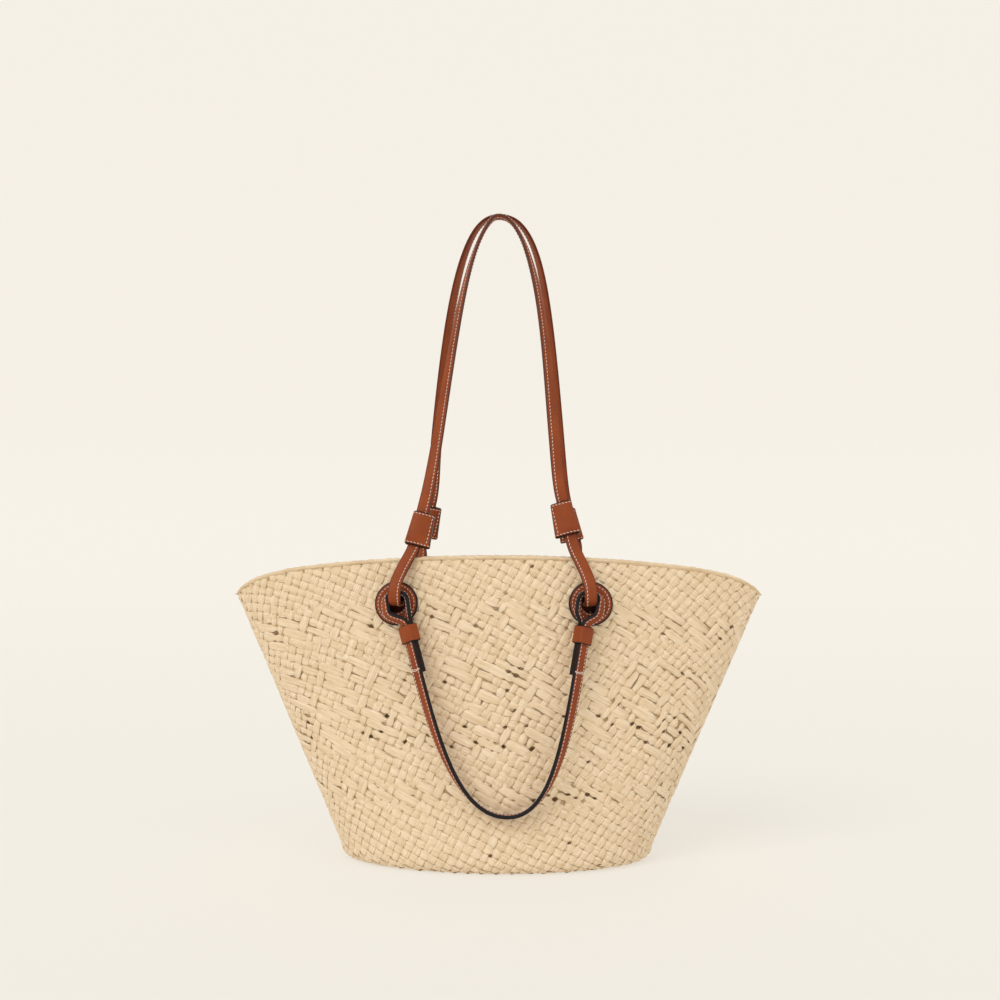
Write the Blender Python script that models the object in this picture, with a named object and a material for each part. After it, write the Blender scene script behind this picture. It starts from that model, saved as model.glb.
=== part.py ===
"""Woven beach bag with leather shoulder handles and leather hand straps.

Metres, +Z up. The bag stands on z = 0, its mouth is long in X, and its front faces -Y.
The rear leather is the front leather turned half a turn about Z.
"""

import math

import bmesh
import bpy
from mathutils import Matrix, Vector

# Basket: a flaring oval shell, full oval at the base and lens-shaped at the mouth.
BASE_HALF_WIDTH = 0.1476
BASE_HALF_DEPTH = 0.082
FLARE = 0.4395
TAPER = 0.0908
RIM_HEIGHT = 0.2935
RIM_SAG = 0.022
RIM_CORNER_DROP = 0.015
MOUTH_FULLNESS = 0.72
WALL = 0.0045
BASE_RADIUS = 0.014
AROUND = 88
WALL_LEVELS = (0.0, 0.12, 0.28, 0.45, 0.62, 0.78, 0.9, 1.0)
ROUND_STEPS = 4
STRAND_WIDTH = 0.0058
STRAND_HEIGHT = 0.004

# Rings: leather patches round each strap hole, one outside and one inside the wall.
RING_X = 0.0925
RING_Z = 0.2505
RING_OUTER = 0.021
RING_INNER = 0.008
RING_THICKNESS = 0.0022
WALL_HOLE = 0.0084
HOLE_DEPTH = 0.03
INNER_RING_GAP = 0.00066
GAP = 0.0003

# Straps: one leather section for all of them.
STRAP_WIDTH = 0.012
STRAP_THICKNESS = 0.004
LAYER_GAP = 0.0003
LAYER = STRAP_THICKNESS + LAYER_GAP

# Shoulder handle: a twisted arch over two fixed ends that pass through the rings.
HANDLE_TOP = 0.638
HANDLE_TOP_OUT = 0.0063
FLEX_Z = 0.355
FLEX_OUT = 0.0447
FLEX_GAP = 0.0004
LIMB_MIDDLE = (0.0728, 0.3205)
LIMB_TILT = math.radians(13.3)
ARCH_SHOULDER = (0.0476, 0.442)
ARCH_CROWN = 0.047
REAR_SPREAD = 0.0045
ARCH_SPREAD_SHARE = 1.3
TAIL_Z = 0.3495
OUTER_BEND = 0.010
INNER_BEND = 0.006
INNER_RING_REACH = 0.0455
HOOK_OUT = 0.0633

# Cuffs: stitched sleeves that hold each doubled strap above the rim.
CUFF_HEIGHT = 0.033
CUFF_WALL = 0.0022
CUFF_CLEARANCE = 0.0005
CUFF_FLANGE = 0.0050
CUFF_FLANGE_SHARE = 0.62
CUFF_CENTRES_FRONT = {"left": 0.3215, "right": 0.3315}
CUFF_CENTRES_REAR = {"left": 0.3275, "right": 0.3315}

# Hand strap: a U that hangs in front, its ends looped round the shoulder handle.
LOOP_SLOPE = math.radians(10)
LOOP_TILT = math.radians(8)
LOOP_HALF = 0.0106
LOOP_TOP = 0.0095
LOOP_STRAIGHT = 0.017
LOOP_JOIN = 0.031
LOOP_KNEE = 0.024
LEG_TURN = math.radians(8)
LIMB_TURN = math.radians(45)
KNEE_SHIFTS_FRONT = {"left": 0.0065, "right": 0.0015}
KNEE_SHIFTS_REAR = {"left": 0.0015, "right": 0.0015}
LOOP_BEND = 0.006
LEFT_TILT = math.radians(16)
RIGHT_TILT = math.radians(10)
DOUBLE_END = 0.080
HAND_TAIL = 0.078
U_BOTTOM = (0.0145, 0.0845, 0.056)
U_PULL = {"left": (0.060, 0.045), "right": (0.070, 0.038)}
U_BOTTOM_TURN = math.radians(6)

# Keepers: small loops round each doubled hand strap.
KEEPER_AT = 0.0403
KEEPER_HEIGHT = 0.0165
KEEPER_WALL = 0.0018
KEEPER_CLEARANCE = 0.0004

STRAW = ((0.86, 0.74, 0.53), 0.85)
STRAW_EDGE = ((0.83, 0.70, 0.48), 0.8)
LEATHER = ((0.36, 0.12, 0.045), 0.45)
LEATHER_DARK = ((0.30, 0.10, 0.04), 0.5)


def clear_scene():
    for item in list(bpy.data.objects):
        bpy.data.objects.remove(item, do_unlink=True)


def make_material(name, finish):
    colour, roughness = finish
    material = bpy.data.materials.new(name)
    material.use_nodes = True
    shader = material.node_tree.nodes["Principled BSDF"]
    shader.inputs["Base Color"].default_value = (*colour, 1.0)
    shader.inputs["Roughness"].default_value = roughness
    shader.inputs["Metallic"].default_value = 0.0
    return material


def add_object(name, vertices, faces, finish, origin=(0.0, 0.0, 0.0)):
    """A mesh object whose vertices are given in world space, with its origin at origin."""
    origin = Vector(origin)
    mesh = bpy.data.meshes.new(name)
    mesh.from_pydata([tuple(Vector(v) - origin) for v in vertices], [], faces)
    shape = bmesh.new()
    shape.from_mesh(mesh)
    bmesh.ops.recalc_face_normals(shape, faces=shape.faces)
    shape.to_mesh(mesh)
    shape.free()
    mesh.materials.append(make_material(name, finish))
    mesh.shade_smooth()
    mesh.set_sharp_from_angle(angle=math.radians(35))
    item = bpy.data.objects.new(name, mesh)
    item.location = origin
    bpy.context.scene.collection.objects.link(item)
    return item


# Sides: the front is built in place, the rear is turned half a turn.
class Side:
    def __init__(self, name, turned, cuff_centres, knee_shifts, spread):
        self.name = name
        self.turned = turned
        self.cuff_centres = cuff_centres
        self.knee_shifts = knee_shifts
        self.spread = spread

    def place(self, x, out, z):
        """A point from its X, its distance out from the bag's middle plane and its height."""
        if self.turned:
            return Vector((-x, out, z))
        return Vector((x, -out, z))

    def hand(self, end):
        """left is towards -X as the bag stands, so the turned side swaps its ends."""
        if not self.turned:
            return end
        return "right" if end == "left" else "left"

    def node(self, end, piece):
        return f"{self.name}_{self.hand(end)}_{piece}"


SIDES = (
    Side("front", False, CUFF_CENTRES_FRONT, KNEE_SHIFTS_FRONT, 0.0),
    Side("rear", True, CUFF_CENTRES_REAR, KNEE_SHIFTS_REAR, REAR_SPREAD),
)


# Basket surface
def half_width(z):
    return BASE_HALF_WIDTH + FLARE * z


def half_depth(z):
    return BASE_HALF_DEPTH - TAPER * z


def fullness(z):
    return 1.0 - (1.0 - MOUTH_FULLNESS) * min(z / RIM_HEIGHT, 1.0)


def rim_z(angle):
    """The mouth sags a little towards its side ends and drops quickly at them."""
    reach = math.cos(angle) ** 2
    return RIM_HEIGHT - RIM_SAG * reach - RIM_CORNER_DROP * reach**5


def shell_point(angle, z, inset=0.0, nose_inset=None):
    """A point of the oval at height z, moved in by inset, and by nose_inset at the side ends."""
    nose_inset = inset if nose_inset is None else nose_inset
    full = fullness(z)
    sine = math.sin(angle)
    depth = half_depth(z) - inset
    width = half_width(z) - nose_inset
    return Vector((width * math.cos(angle), depth * (full * sine + (1 - full) * sine**3), z))


def wall_out(x, z):
    """Distance of the wall's outer face from the middle plane."""
    angle = math.acos(max(-1.0, min(1.0, x / half_width(z))))
    return shell_point(angle, z).y


def wall_normal_front(x, z):
    """Outward unit normal of the front wall's outer face."""
    step = 0.0005
    along = Vector((2 * step, -(wall_out(x + step, z) - wall_out(x - step, z)), 0.0))
    up = Vector((0.0, -(wall_out(x, z + step) - wall_out(x, z - step)), 2 * step))
    return along.cross(up).normalized()


def ring_faces(rings, closed_path):
    """Quads between successive closed rings of point indexes."""
    faces = []
    last = len(rings) if closed_path else len(rings) - 1
    for i in range(last):
        a, b = rings[i], rings[(i + 1) % len(rings)]
        for j in range(len(a)):
            k = (j + 1) % len(a)
            faces.append((a[j], a[k], b[k], b[j]))
    return faces


def number_rings(sections):
    """Vertices and index rings from a list of point lists."""
    vertices = []
    rings = []
    for section in sections:
        rings.append(list(range(len(vertices), len(vertices) + len(section))))
        vertices.extend(section)
    return vertices, rings


def around_angles():
    return [2 * math.pi * i / AROUND for i in range(AROUND)]


def rounded_inset(z, radius, floor):
    """How far a quarter round of this radius, standing on floor, draws the wall in at z."""
    drop = max(0.0, radius - (z - floor))
    return radius - math.sqrt(max(0.0, radius**2 - drop**2))


def nose_share(z):
    """The wall is thicker at its side ends near the mouth, where its section turns sharply."""
    return 1.0 + 0.6 * z / RIM_HEIGHT


def wall_profile(inner):
    """Closed sections from the base edge to the rim for one face of the wall."""
    floor = WALL if inner else 0.0
    radius = BASE_RADIUS - WALL if inner else BASE_RADIUS
    extra = WALL if inner else 0.0
    levels = []
    for i in range(ROUND_STEPS):
        turn = math.pi / 2 * i / ROUND_STEPS
        z = floor + radius * (1 - math.cos(turn))
        levels.append((z, rounded_inset(z, radius, floor)))
    sections = []
    for z, inset in levels:
        nose = extra * nose_share(z) + inset
        sections.append([shell_point(a, z, extra + inset, nose) for a in around_angles()])
    for share in WALL_LEVELS:
        section = []
        for a in around_angles():
            z = BASE_RADIUS + share * (rim_z(a) - BASE_RADIUS)
            section.append(shell_point(a, z, extra, extra * nose_share(z)))
        sections.append(section)
    return sections


def ring_frame(side, end):
    """Centre and outward normal of a strap hole on the wall's outer face."""
    sign = -1 if end == "left" else 1
    x = sign * RING_X
    normal = wall_normal_front(x, RING_Z)
    out = wall_out(x, RING_Z)
    turn = Matrix.Rotation(math.pi, 3, "Z") if side.turned else Matrix.Identity(3)
    return side.place(x, out, RING_Z), turn @ normal


def cutter(name, centre, axis, radius, length):
    """A hidden cylinder that a Boolean modifier cuts with."""
    shape = bmesh.new()
    bmesh.ops.create_cone(
        shape,
        cap_ends=True,
        segments=24,
        radius1=radius,
        radius2=radius,
        depth=length,
    )
    mesh = bpy.data.meshes.new(name)
    shape.to_mesh(mesh)
    shape.free()
    item = bpy.data.objects.new(name, mesh)
    item.location = centre
    item.rotation_mode = "QUATERNION"
    item.rotation_quaternion = Vector((0, 0, 1)).rotation_difference(axis)
    item.hide_render = True
    item.display_type = "WIRE"
    bpy.context.scene.collection.objects.link(item)
    return item


def subtract(item, tool):
    cut = item.modifiers.new(tool.name, "BOOLEAN")
    cut.operation = "DIFFERENCE"
    cut.solver = "EXACT"
    cut.object = tool


def build_wall():
    outer = wall_profile(inner=False)
    inner = wall_profile(inner=True)
    vertices, rings = number_rings(outer + inner[::-1])
    wall = add_object("basket_wall", vertices, ring_faces(rings, True), STRAW)
    for side in SIDES:
        for end in ("left", "right"):
            centre, normal = ring_frame(side, end)
            tool = cutter(side.node(end, "hole_cutter"), centre, normal, WALL_HOLE, HOLE_DEPTH)
            subtract(wall, tool)


def build_base():
    """The flat oval floor that closes the wall's bottom edge."""
    inset = BASE_RADIUS + TAPER * WALL + GAP
    low = [shell_point(a, 0.0, inset) for a in around_angles()]
    high = [p + Vector((0.0, 0.0, WALL)) for p in low]
    vertices, rings = number_rings([low, high])
    faces = ring_faces(rings, False)
    faces.append(tuple(rings[0]))
    faces.append(tuple(rings[1]))
    add_object("basket_base", vertices, faces, STRAW)


def build_rim_strand():
    """The smooth strand that finishes the mouth's edge."""
    sections = []
    for a in around_angles():
        z = rim_z(a)
        outer = shell_point(a, z)
        inner = shell_point(a, z, WALL, WALL * nose_share(z))
        middle = (outer + inner) / 2
        across = (outer - inner).normalized()
        centre = middle + Vector((0.0, 0.0, GAP + STRAND_HEIGHT / 2))
        section = []
        for i in range(8):
            turn = math.pi / 4 * (i + 0.5)
            section.append(
                centre
                + across * (STRAND_WIDTH / 2 * math.cos(turn) / math.cos(math.pi / 8))
                + Vector((0.0, 0.0, STRAND_HEIGHT / 2 * math.sin(turn) / math.cos(math.pi / 8)))
            )
        sections.append(section)
    vertices, rings = number_rings(sections)
    add_object("rim_strand", vertices, ring_faces(rings, True), STRAW_EDGE)


def build_rings():
    """Leather patches outside and inside the wall, in the plane that touches it."""
    for side in SIDES:
        for end in ("left", "right"):
            centre, normal = ring_frame(side, end)
            outside = centre + normal * GAP
            inside = centre - normal * (WALL + INNER_RING_GAP)
            add_ring(side.node(end, "outer_ring"), outside, normal)
            add_ring(side.node(end, "inner_ring"), inside, -normal)


def add_ring(name, foot, normal):
    """A washer that stands on foot and rises along normal."""
    first = normal.cross(Vector((0, 0, 1))).normalized()
    second = normal.cross(first)
    sections = []
    steps = 32
    for i in range(steps):
        turn = 2 * math.pi * i / steps
        ray = first * math.cos(turn) + second * math.sin(turn)
        sections.append(
            [
                foot + ray * RING_INNER,
                foot + ray * RING_OUTER,
                foot + ray * RING_OUTER + normal * RING_THICKNESS,
                foot + ray * RING_INNER + normal * RING_THICKNESS,
            ]
        )
    vertices, rings = number_rings(sections)
    add_object(name, vertices, ring_faces(rings, True), LEATHER)


# Smooth lines
def catmull(points, steps):
    """A smooth line through points, with steps pieces between each two."""
    ends = [2 * points[0] - points[1], *points, 2 * points[-1] - points[-2]]
    line = []
    for i in range(1, len(ends) - 2):
        a, b, c, d = ends[i - 1 : i + 3]
        for j in range(steps):
            t = j / steps
            line.append(
                0.5
                * (
                    2 * b
                    + (c - a) * t
                    + (2 * a - 5 * b + 4 * c - d) * t**2
                    + (3 * b - a - 3 * c + d) * t**3
                )
            )
    line.append(points[-1].copy())
    return line


def bezier(a, b, c, d, steps):
    line = []
    for i in range(steps + 1):
        t = i / steps
        s = 1 - t
        line.append(s**3 * a + 3 * s * s * t * b + 3 * s * t * t * c + t**3 * d)
    return line


def ribbon(name, line, across, finish, origin=(0.0, 0.0, 0.0)):
    """A strap of rectangular section along line; across gives its width direction at each point."""
    sections = []
    for i, point in enumerate(line):
        before = line[max(i - 1, 0)]
        after = line[min(i + 1, len(line) - 1)]
        tangent = (after - before).normalized()
        width = across[i] - tangent * across[i].dot(tangent)
        width = width.normalized() * (STRAP_WIDTH / 2)
        depth = tangent.cross(width).normalized() * (STRAP_THICKNESS / 2)
        sections.append(
            [
                point - width - depth,
                point + width - depth,
                point + width + depth,
                point - width + depth,
            ]
        )
    vertices, rings = number_rings(sections)
    faces = ring_faces(rings, False)
    faces.append(tuple(rings[0]))
    faces.append(tuple(rings[-1]))
    return add_object(name, vertices, faces, finish, origin)


# Shoulder handles
HANDLE_LEAN = (FLEX_OUT - HANDLE_TOP_OUT) / (HANDLE_TOP - FLEX_Z)


def limb_x(side, z):
    """Half spacing of the straight limbs at height z."""
    return LIMB_MIDDLE[0] + side.spread - (z - LIMB_MIDDLE[1]) * math.tan(LIMB_TILT)


def limb_out(z, layer):
    """Distance out of the strap's front layer, 0, or of its tail behind it, 1."""
    return HANDLE_TOP_OUT + (HANDLE_TOP - z) * HANDLE_LEAN - layer * LAYER


def limb_point(side, sign, z):
    return side.place(sign * limb_x(side, z), limb_out(z, 0), z)


def arch_line(side):
    """The arch from flex line to flex line, with its width directions."""
    low = FLEX_Z + FLEX_GAP
    start = (-limb_x(side, low), low)
    wider = side.spread * ARCH_SPREAD_SHARE
    corners = [
        start,
        (-ARCH_SHOULDER[0] - wider, ARCH_SHOULDER[1]),
        (-ARCH_CROWN - wider, HANDLE_TOP),
        (0.0, HANDLE_TOP),
    ]
    half = bezier(*[Vector((x, 0.0, z)) for x, z in corners], 24)
    flat = half + [Vector((-p.x, 0.0, p.z)) for p in half[-2::-1]]
    line = [side.place(p.x, limb_out(p.z, 0), p.z) for p in flat]
    facing = (side.place(0.0, 1.0, HANDLE_LEAN)).normalized()
    across = []
    for i, point in enumerate(line):
        before = line[max(i - 1, 0)]
        after = line[min(i + 1, len(line) - 1)]
        tangent = (after - before).normalized()
        inward = tangent.cross(facing)
        share = 1 - abs(2 * i / (len(line) - 1) - 1)
        turn = math.pi / 2 * share**0.8
        across.append(inward * math.cos(turn) + facing * math.sin(turn))
    return line, across


def hinge_point(side):
    """A point on the handle's flex line, in the strap's outer face."""
    return side.place(0.0, limb_out(FLEX_Z, 0) + STRAP_THICKNESS / 2, FLEX_Z)


def hook_z():
    return RING_Z + OUTER_BEND


def end_line(side, end):
    """The fixed end: down outside the wall, in through the hole, up inside and into the cuff."""
    sign = -1 if end == "left" else 1
    top = FLEX_Z - FLEX_GAP
    straight = [top, 0.338, 0.3205, 0.3045]
    outer = [(limb_x(side, z), limb_out(z, 0), z) for z in straight]
    outer += [(0.0812, 0.0568, 0.294), (0.0868, 0.0638, 0.282), (0.0912, 0.0708, 0.270)]
    centre = (HOOK_OUT, hook_z())
    for i in range(9):
        turn = math.pi / 2 * i / 8
        out = centre[0] + OUTER_BEND * math.cos(turn)
        outer.append((RING_X, out, centre[1] - OUTER_BEND * math.sin(turn)))
    inner = []
    for i in range(7):
        turn = math.pi / 2 * i / 6
        out = INNER_RING_REACH - INNER_BEND * math.sin(turn)
        inner.append((RING_X, out, RING_Z + INNER_BEND * (1 - math.cos(turn))))
    inner += [(0.0908, 0.0400, 0.271), (0.0862, 0.0424, 0.284), (0.0812, 0.0438, 0.294)]
    inner += [(limb_x(side, z), limb_out(z, 1), z) for z in (0.3055, 0.3205, 0.338, TAIL_Z)]
    points = [side.place(sign * x, out, z) for x, out, z in outer + inner]
    return catmull(points, 2)


def build_shoulder_handles():
    for side in SIDES:
        line, across = arch_line(side)
        ribbon(f"{side.name}_shoulder_handle", line, across, LEATHER, hinge_point(side))
        for end in ("left", "right"):
            fixed = end_line(side, end)
            wide = [Vector((1, 0, 0))] * len(fixed)
            ribbon(side.node(end, "handle_end"), fixed, wide, LEATHER)


# Sleeves
def sleeve(name, outline, hole, centre, axes, height, finish, origin=(0.0, 0.0, 0.0)):
    """A closed sleeve of this outline and hole, both in the plane of the first two axes."""
    first, second, along = axes
    rings = []
    for loop in (outline, hole):
        for rise in (-height / 2, height / 2):
            rings.append([centre + first * u + second * v + along * rise for u, v in loop])
    vertices, index = number_rings([rings[0], rings[1], rings[3], rings[2]])
    add = ring_faces(index, True)
    return add_object(name, vertices, add, finish, origin)


def rounded_box(half_u, half_v, radius, shift_u=0.0):
    """Twelve points round a box with rounded corners."""
    points = []
    for quarter in range(4):
        cu = (half_u - radius) * (1 if quarter in (0, 3) else -1)
        cv = (half_v - radius) * (1 if quarter in (0, 1) else -1)
        for step in range(3):
            turn = math.pi / 2 * quarter + math.pi / 4 * step
            points.append((cu + shift_u + radius * math.cos(turn), cv + radius * math.sin(turn)))
    return points


def build_cuffs():
    """Each cuff wraps the doubled strap and ends in a stitched flange towards the middle."""
    for side in SIDES:
        for end in ("left", "right"):
            sign = -1 if end == "left" else 1
            z = side.cuff_centres[end]
            middle_out = (limb_out(z, 0) + limb_out(z, 1)) / 2
            centre = side.place(sign * limb_x(side, z), middle_out, z)
            low = limb_point(side, sign, z - CUFF_HEIGHT / 2)
            high = limb_point(side, sign, z + CUFF_HEIGHT / 2)
            along = (high - low).normalized()
            inward = side.place(-sign, 0.0, 0.0)
            inward = (inward - along * inward.dot(along)).normalized()
            facing = inward.cross(along)
            half_u = STRAP_WIDTH / 2 + CUFF_CLEARANCE
            half_v = LAYER / 2 + STRAP_THICKNESS / 2 + CUFF_CLEARANCE
            hole = rounded_box(half_u, half_v, 0.0004)
            grown_u = half_u + CUFF_WALL
            grown_v = half_v + CUFF_WALL
            outline = []
            for u, v in rounded_box(grown_u, grown_v, 0.0022):
                if u > 0:
                    u += CUFF_FLANGE
                    v *= CUFF_FLANGE_SHARE
                outline.append((u, v))
            sleeve(
                side.node(end, "cuff"),
                outline,
                hole,
                centre,
                (inward, facing, along),
                CUFF_HEIGHT,
                LEATHER,
            )


# Hand straps
def hook(side, end):
    """The line that the hand strap's loop turns on, at this end."""
    sign = -1 if end == "left" else 1
    return side.place(sign * RING_X, HOOK_OUT, hook_z())


def hang_axes(side, end, tilt):
    """Down, inward and outward unit directions of a hanging end tilted by tilt."""
    sign = -1 if end == "left" else 1
    down = side.place(
        -sign * math.sin(tilt),
        math.cos(tilt) * math.sin(LOOP_SLOPE),
        -math.cos(tilt) * math.cos(LOOP_SLOPE),
    )
    facing = side.place(0.0, math.cos(LOOP_SLOPE), math.sin(LOOP_SLOPE))
    inward = down.cross(facing).normalized()
    if inward.dot(side.place(-sign, 0.0, 0.0)) < 0:
        inward = -inward
    return down, inward, facing


def double_axes(side, end):
    """Start and directions of the straight doubled part, and of its turned section."""
    tilt = LEFT_TILT if end == "left" else RIGHT_TILT
    loop_down, loop_inward, _ = hang_axes(side, end, LOOP_TILT)
    down, inward, facing = hang_axes(side, end, tilt)
    knee = hook(side, end) + loop_down * LOOP_KNEE + loop_inward * side.knee_shifts[end]
    stack = inward * math.cos(LIMB_TURN) - facing * math.sin(LIMB_TURN)
    width = facing * math.cos(LIMB_TURN) + inward * math.sin(LIMB_TURN)
    return knee, down, stack, width


def loop_half(side, end, inner):
    """One leg of the loop, from the middle of its top to the doubled strap's end."""
    down, inward, facing = hang_axes(side, end, LOOP_TILT)
    way = 1 if inner else -1
    top = hook(side, end)
    points = []
    across = []
    for i in range(7):
        turn = math.pi / 2 * i / 6
        p = LOOP_HALF * math.sin(turn) ** (2 / 3)
        s = LOOP_TOP * (1 - math.cos(turn) ** (2 / 3))
        points.append(top + inward * (way * p) + down * s)
        lean = LEG_TURN * i / 6
        across.append(facing * math.cos(lean) + inward * math.sin(lean))
    straight = top + inward * (way * LOOP_HALF) + down * LOOP_STRAIGHT
    points.append(straight)
    across.append(across[-1])
    knee, below, stack, width = double_axes(side, end)
    join = knee + stack * (way * LAYER / 2) + below * (LOOP_JOIN - LOOP_KNEE)
    corner_a = straight + down * LOOP_BEND
    corner_b = join - below * LOOP_BEND
    steps = 5
    bent = bezier(straight, corner_a, corner_b, join, steps)
    for i in range(1, steps + 1):
        share = i / steps
        points.append(bent[i])
        across.append(across[6].lerp(width, share).normalized())
    return points, across


def hand_line(side):
    """The whole hand strap, from one tail over its loop, round the U and back to the other."""
    points = []
    across = []
    for end in ("left", "right"):
        knee, below, stack, width = double_axes(side, end)
        tail_points, tail_across = loop_half(side, end, inner=True)
        tail_points.append(knee + stack * (LAYER / 2) + below * (HAND_TAIL - LOOP_KNEE))
        tail_across.append(width)
        main_points, main_across = loop_half(side, end, inner=False)
        length = DOUBLE_END - LOOP_KNEE
        main_points.append(knee - stack * (LAYER / 2) + below * length)
        main_across.append(width)
        one_way = tail_points[::-1] + main_points[1:]
        one_across = tail_across[::-1] + main_across[1:]
        if end == "right":
            one_way.reverse()
            one_across.reverse()
        if end == "left":
            points += one_way
            across += one_across
            left_end = one_way[-1]
            left_down = below
            left_width = width
            continue
        bottom = side.place(*U_BOTTOM)
        axis_x = side.place(1.0, 0.0, 0.0)
        pulls = U_PULL["left"]
        down_left = bezier(
            left_end,
            left_end + left_down * pulls[0],
            bottom - axis_x * pulls[1],
            bottom,
            14,
        )
        pulls = U_PULL["right"]
        up_right = bezier(
            bottom,
            bottom + axis_x * pulls[1],
            one_way[0] + below * pulls[0],
            one_way[0],
            14,
        )
        facing = side.place(0.0, 1.0, 0.0)
        middle = facing * math.cos(U_BOTTOM_TURN) + Vector((0, 0, 1)) * math.sin(U_BOTTOM_TURN)
        for i in range(1, 15):
            points.append(down_left[i])
            across.append(blend_width(left_width, middle, i / 14))
        for i in range(1, 14):
            points.append(up_right[i])
            across.append(blend_width(middle, width, i / 14))
        points += one_way
        across += one_across
    return points, across


def blend_width(a, b, share):
    eased = share * share * (3 - 2 * share)
    return a.lerp(b, eased).normalized()


def build_hand_straps():
    for side in SIDES:
        line, across = hand_line(side)
        middle = (hook(side, "left") + hook(side, "right")) / 2
        ribbon(f"{side.name}_hand_strap", line, across, LEATHER_DARK, middle)


def build_keepers():
    half_u = STRAP_WIDTH / 2 + KEEPER_CLEARANCE
    half_v = LAYER / 2 + STRAP_THICKNESS / 2 + KEEPER_CLEARANCE
    hole = rounded_box(half_u, half_v, 0.0004)
    outline = rounded_box(half_u + KEEPER_WALL, half_v + KEEPER_WALL, 0.0024)
    for side in SIDES:
        for end in ("left", "right"):
            knee, below, stack, width = double_axes(side, end)
            centre = knee + below * (KEEPER_AT - LOOP_KNEE)
            axes = (width, stack, below)
            name = side.node(end, "keeper")
            sleeve(name, outline, hole, centre, axes, KEEPER_HEIGHT, LEATHER, centre)


def main():
    clear_scene()
    build_wall()
    build_base()
    build_rim_strand()
    build_rings()
    build_shoulder_handles()
    build_cuffs()
    build_hand_straps()
    build_keepers()


main()
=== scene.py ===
"""Looks for the woven beach bag: plaited straw, stitched leather, studio. Metres, +Z up, front at -Y."""

import math

import bmesh
import bpy
import numpy as np
from mathutils import Matrix, Vector
from mathutils.kdtree import KDTree


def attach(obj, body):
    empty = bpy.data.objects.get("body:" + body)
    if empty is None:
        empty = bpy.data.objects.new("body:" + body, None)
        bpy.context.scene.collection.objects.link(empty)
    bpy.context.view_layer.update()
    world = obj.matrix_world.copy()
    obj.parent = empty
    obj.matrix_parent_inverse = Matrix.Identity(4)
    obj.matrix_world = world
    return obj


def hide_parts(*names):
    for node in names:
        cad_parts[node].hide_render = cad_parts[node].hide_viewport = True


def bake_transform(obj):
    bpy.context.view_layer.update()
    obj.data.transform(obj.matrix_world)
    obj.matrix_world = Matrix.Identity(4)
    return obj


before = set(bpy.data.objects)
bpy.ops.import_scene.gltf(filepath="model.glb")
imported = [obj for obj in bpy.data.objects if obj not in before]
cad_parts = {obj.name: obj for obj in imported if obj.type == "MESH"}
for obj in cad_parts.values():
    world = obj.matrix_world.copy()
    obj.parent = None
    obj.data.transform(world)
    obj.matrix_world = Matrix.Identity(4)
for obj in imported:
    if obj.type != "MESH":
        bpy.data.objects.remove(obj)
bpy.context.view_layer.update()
rng = np.random.default_rng(11)

# The part's driving dimensions, repeated because this script reads only the frame.
BASE_HALF_WIDTH, BASE_HALF_DEPTH = 0.1476, 0.082
FLARE, TAPER = 0.4395, 0.0908
RIM_HEIGHT, RIM_SAG, RIM_CORNER_DROP = 0.2935, 0.022, 0.015
MOUTH_FULLNESS, WALL, BASE_RADIUS = 0.72, 0.0045, 0.014
RING_X, RING_Z = 0.0925, 0.2505
RING_OUTER, RING_INNER, RING_THICKNESS = 0.021, 0.008, 0.0022
GAP, INNER_SLOT = 0.0003, 0.0025
STRAP_WIDTH, STRAP_THICKNESS, LAYER = 0.012, 0.004, 0.0043
HANDLE_TOP, HANDLE_TOP_OUT = 0.638, 0.0063
FLEX_Z, FLEX_OUT = 0.355, 0.0447
LIMB_MIDDLE, LIMB_TILT = (0.0728, 0.3205), math.radians(13.3)
ARCH_SHOULDER, ARCH_CROWN, ARCH_SPREAD_SHARE = (0.0476, 0.442), 0.047, 1.3
TAIL_Z, OUTER_BEND, INNER_BEND = 0.3495, 0.010, 0.006
INNER_RING_REACH, HOOK_OUT = 0.0455, 0.0633
CUFF_HEIGHT, CUFF_WALL, CUFF_CLEARANCE, CUFF_FLANGE = 0.033, 0.0022, 0.0005, 0.0050
CUFF_TAPER = 0.10
LOOP_SLOPE, LOOP_TILT = math.radians(10), math.radians(8)
LOOP_HALF, LOOP_TOP, LOOP_STRAIGHT, LOOP_JOIN, LOOP_KNEE = 0.0106, 0.0095, 0.017, 0.031, 0.024
LEG_TURN, LIMB_TURN = math.radians(8), math.radians(45)
OUTER_LEG_TURN, LOOP_BEND = math.radians(36), 0.006
TILTS = {"left": math.radians(16), "right": math.radians(10)}
DOUBLE_END, HAND_TAIL = 0.080, 0.078
U_BOTTOM, U_BOTTOM_TURN = (0.0145, 0.0845, 0.056), math.radians(6)
U_PULL = {"left": (0.060, 0.045), "right": (0.070, 0.038)}
KEEPER_AT, KEEPER_HEIGHT, KEEPER_WALL, KEEPER_CLEARANCE = 0.0403, 0.0165, 0.0018, 0.0004
HANDLE_LEAN = (FLEX_OUT - HANDLE_TOP_OUT) / (HANDLE_TOP - FLEX_Z)


# Materials
def new_material(name, colour, roughness, **inputs):
    """A Principled material with uniform values on its own sockets, and its node tools."""
    material = bpy.data.materials.new(name)
    material.use_nodes = True
    tree = material.node_tree
    shader = tree.nodes["Principled BSDF"]
    shader.inputs["Base Color"].default_value = (*colour, 1)
    shader.inputs["Roughness"].default_value = roughness
    for key, value in inputs.items():
        shader.inputs[key.replace("_", " ")].default_value = value
    return material, tree, shader


def node(tree, kind, **settings):
    made = tree.nodes.new(kind)
    for key, value in settings.items():
        if key in made.inputs:
            made.inputs[key].default_value = value
        else:
            setattr(made, key, value)
    return made


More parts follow.
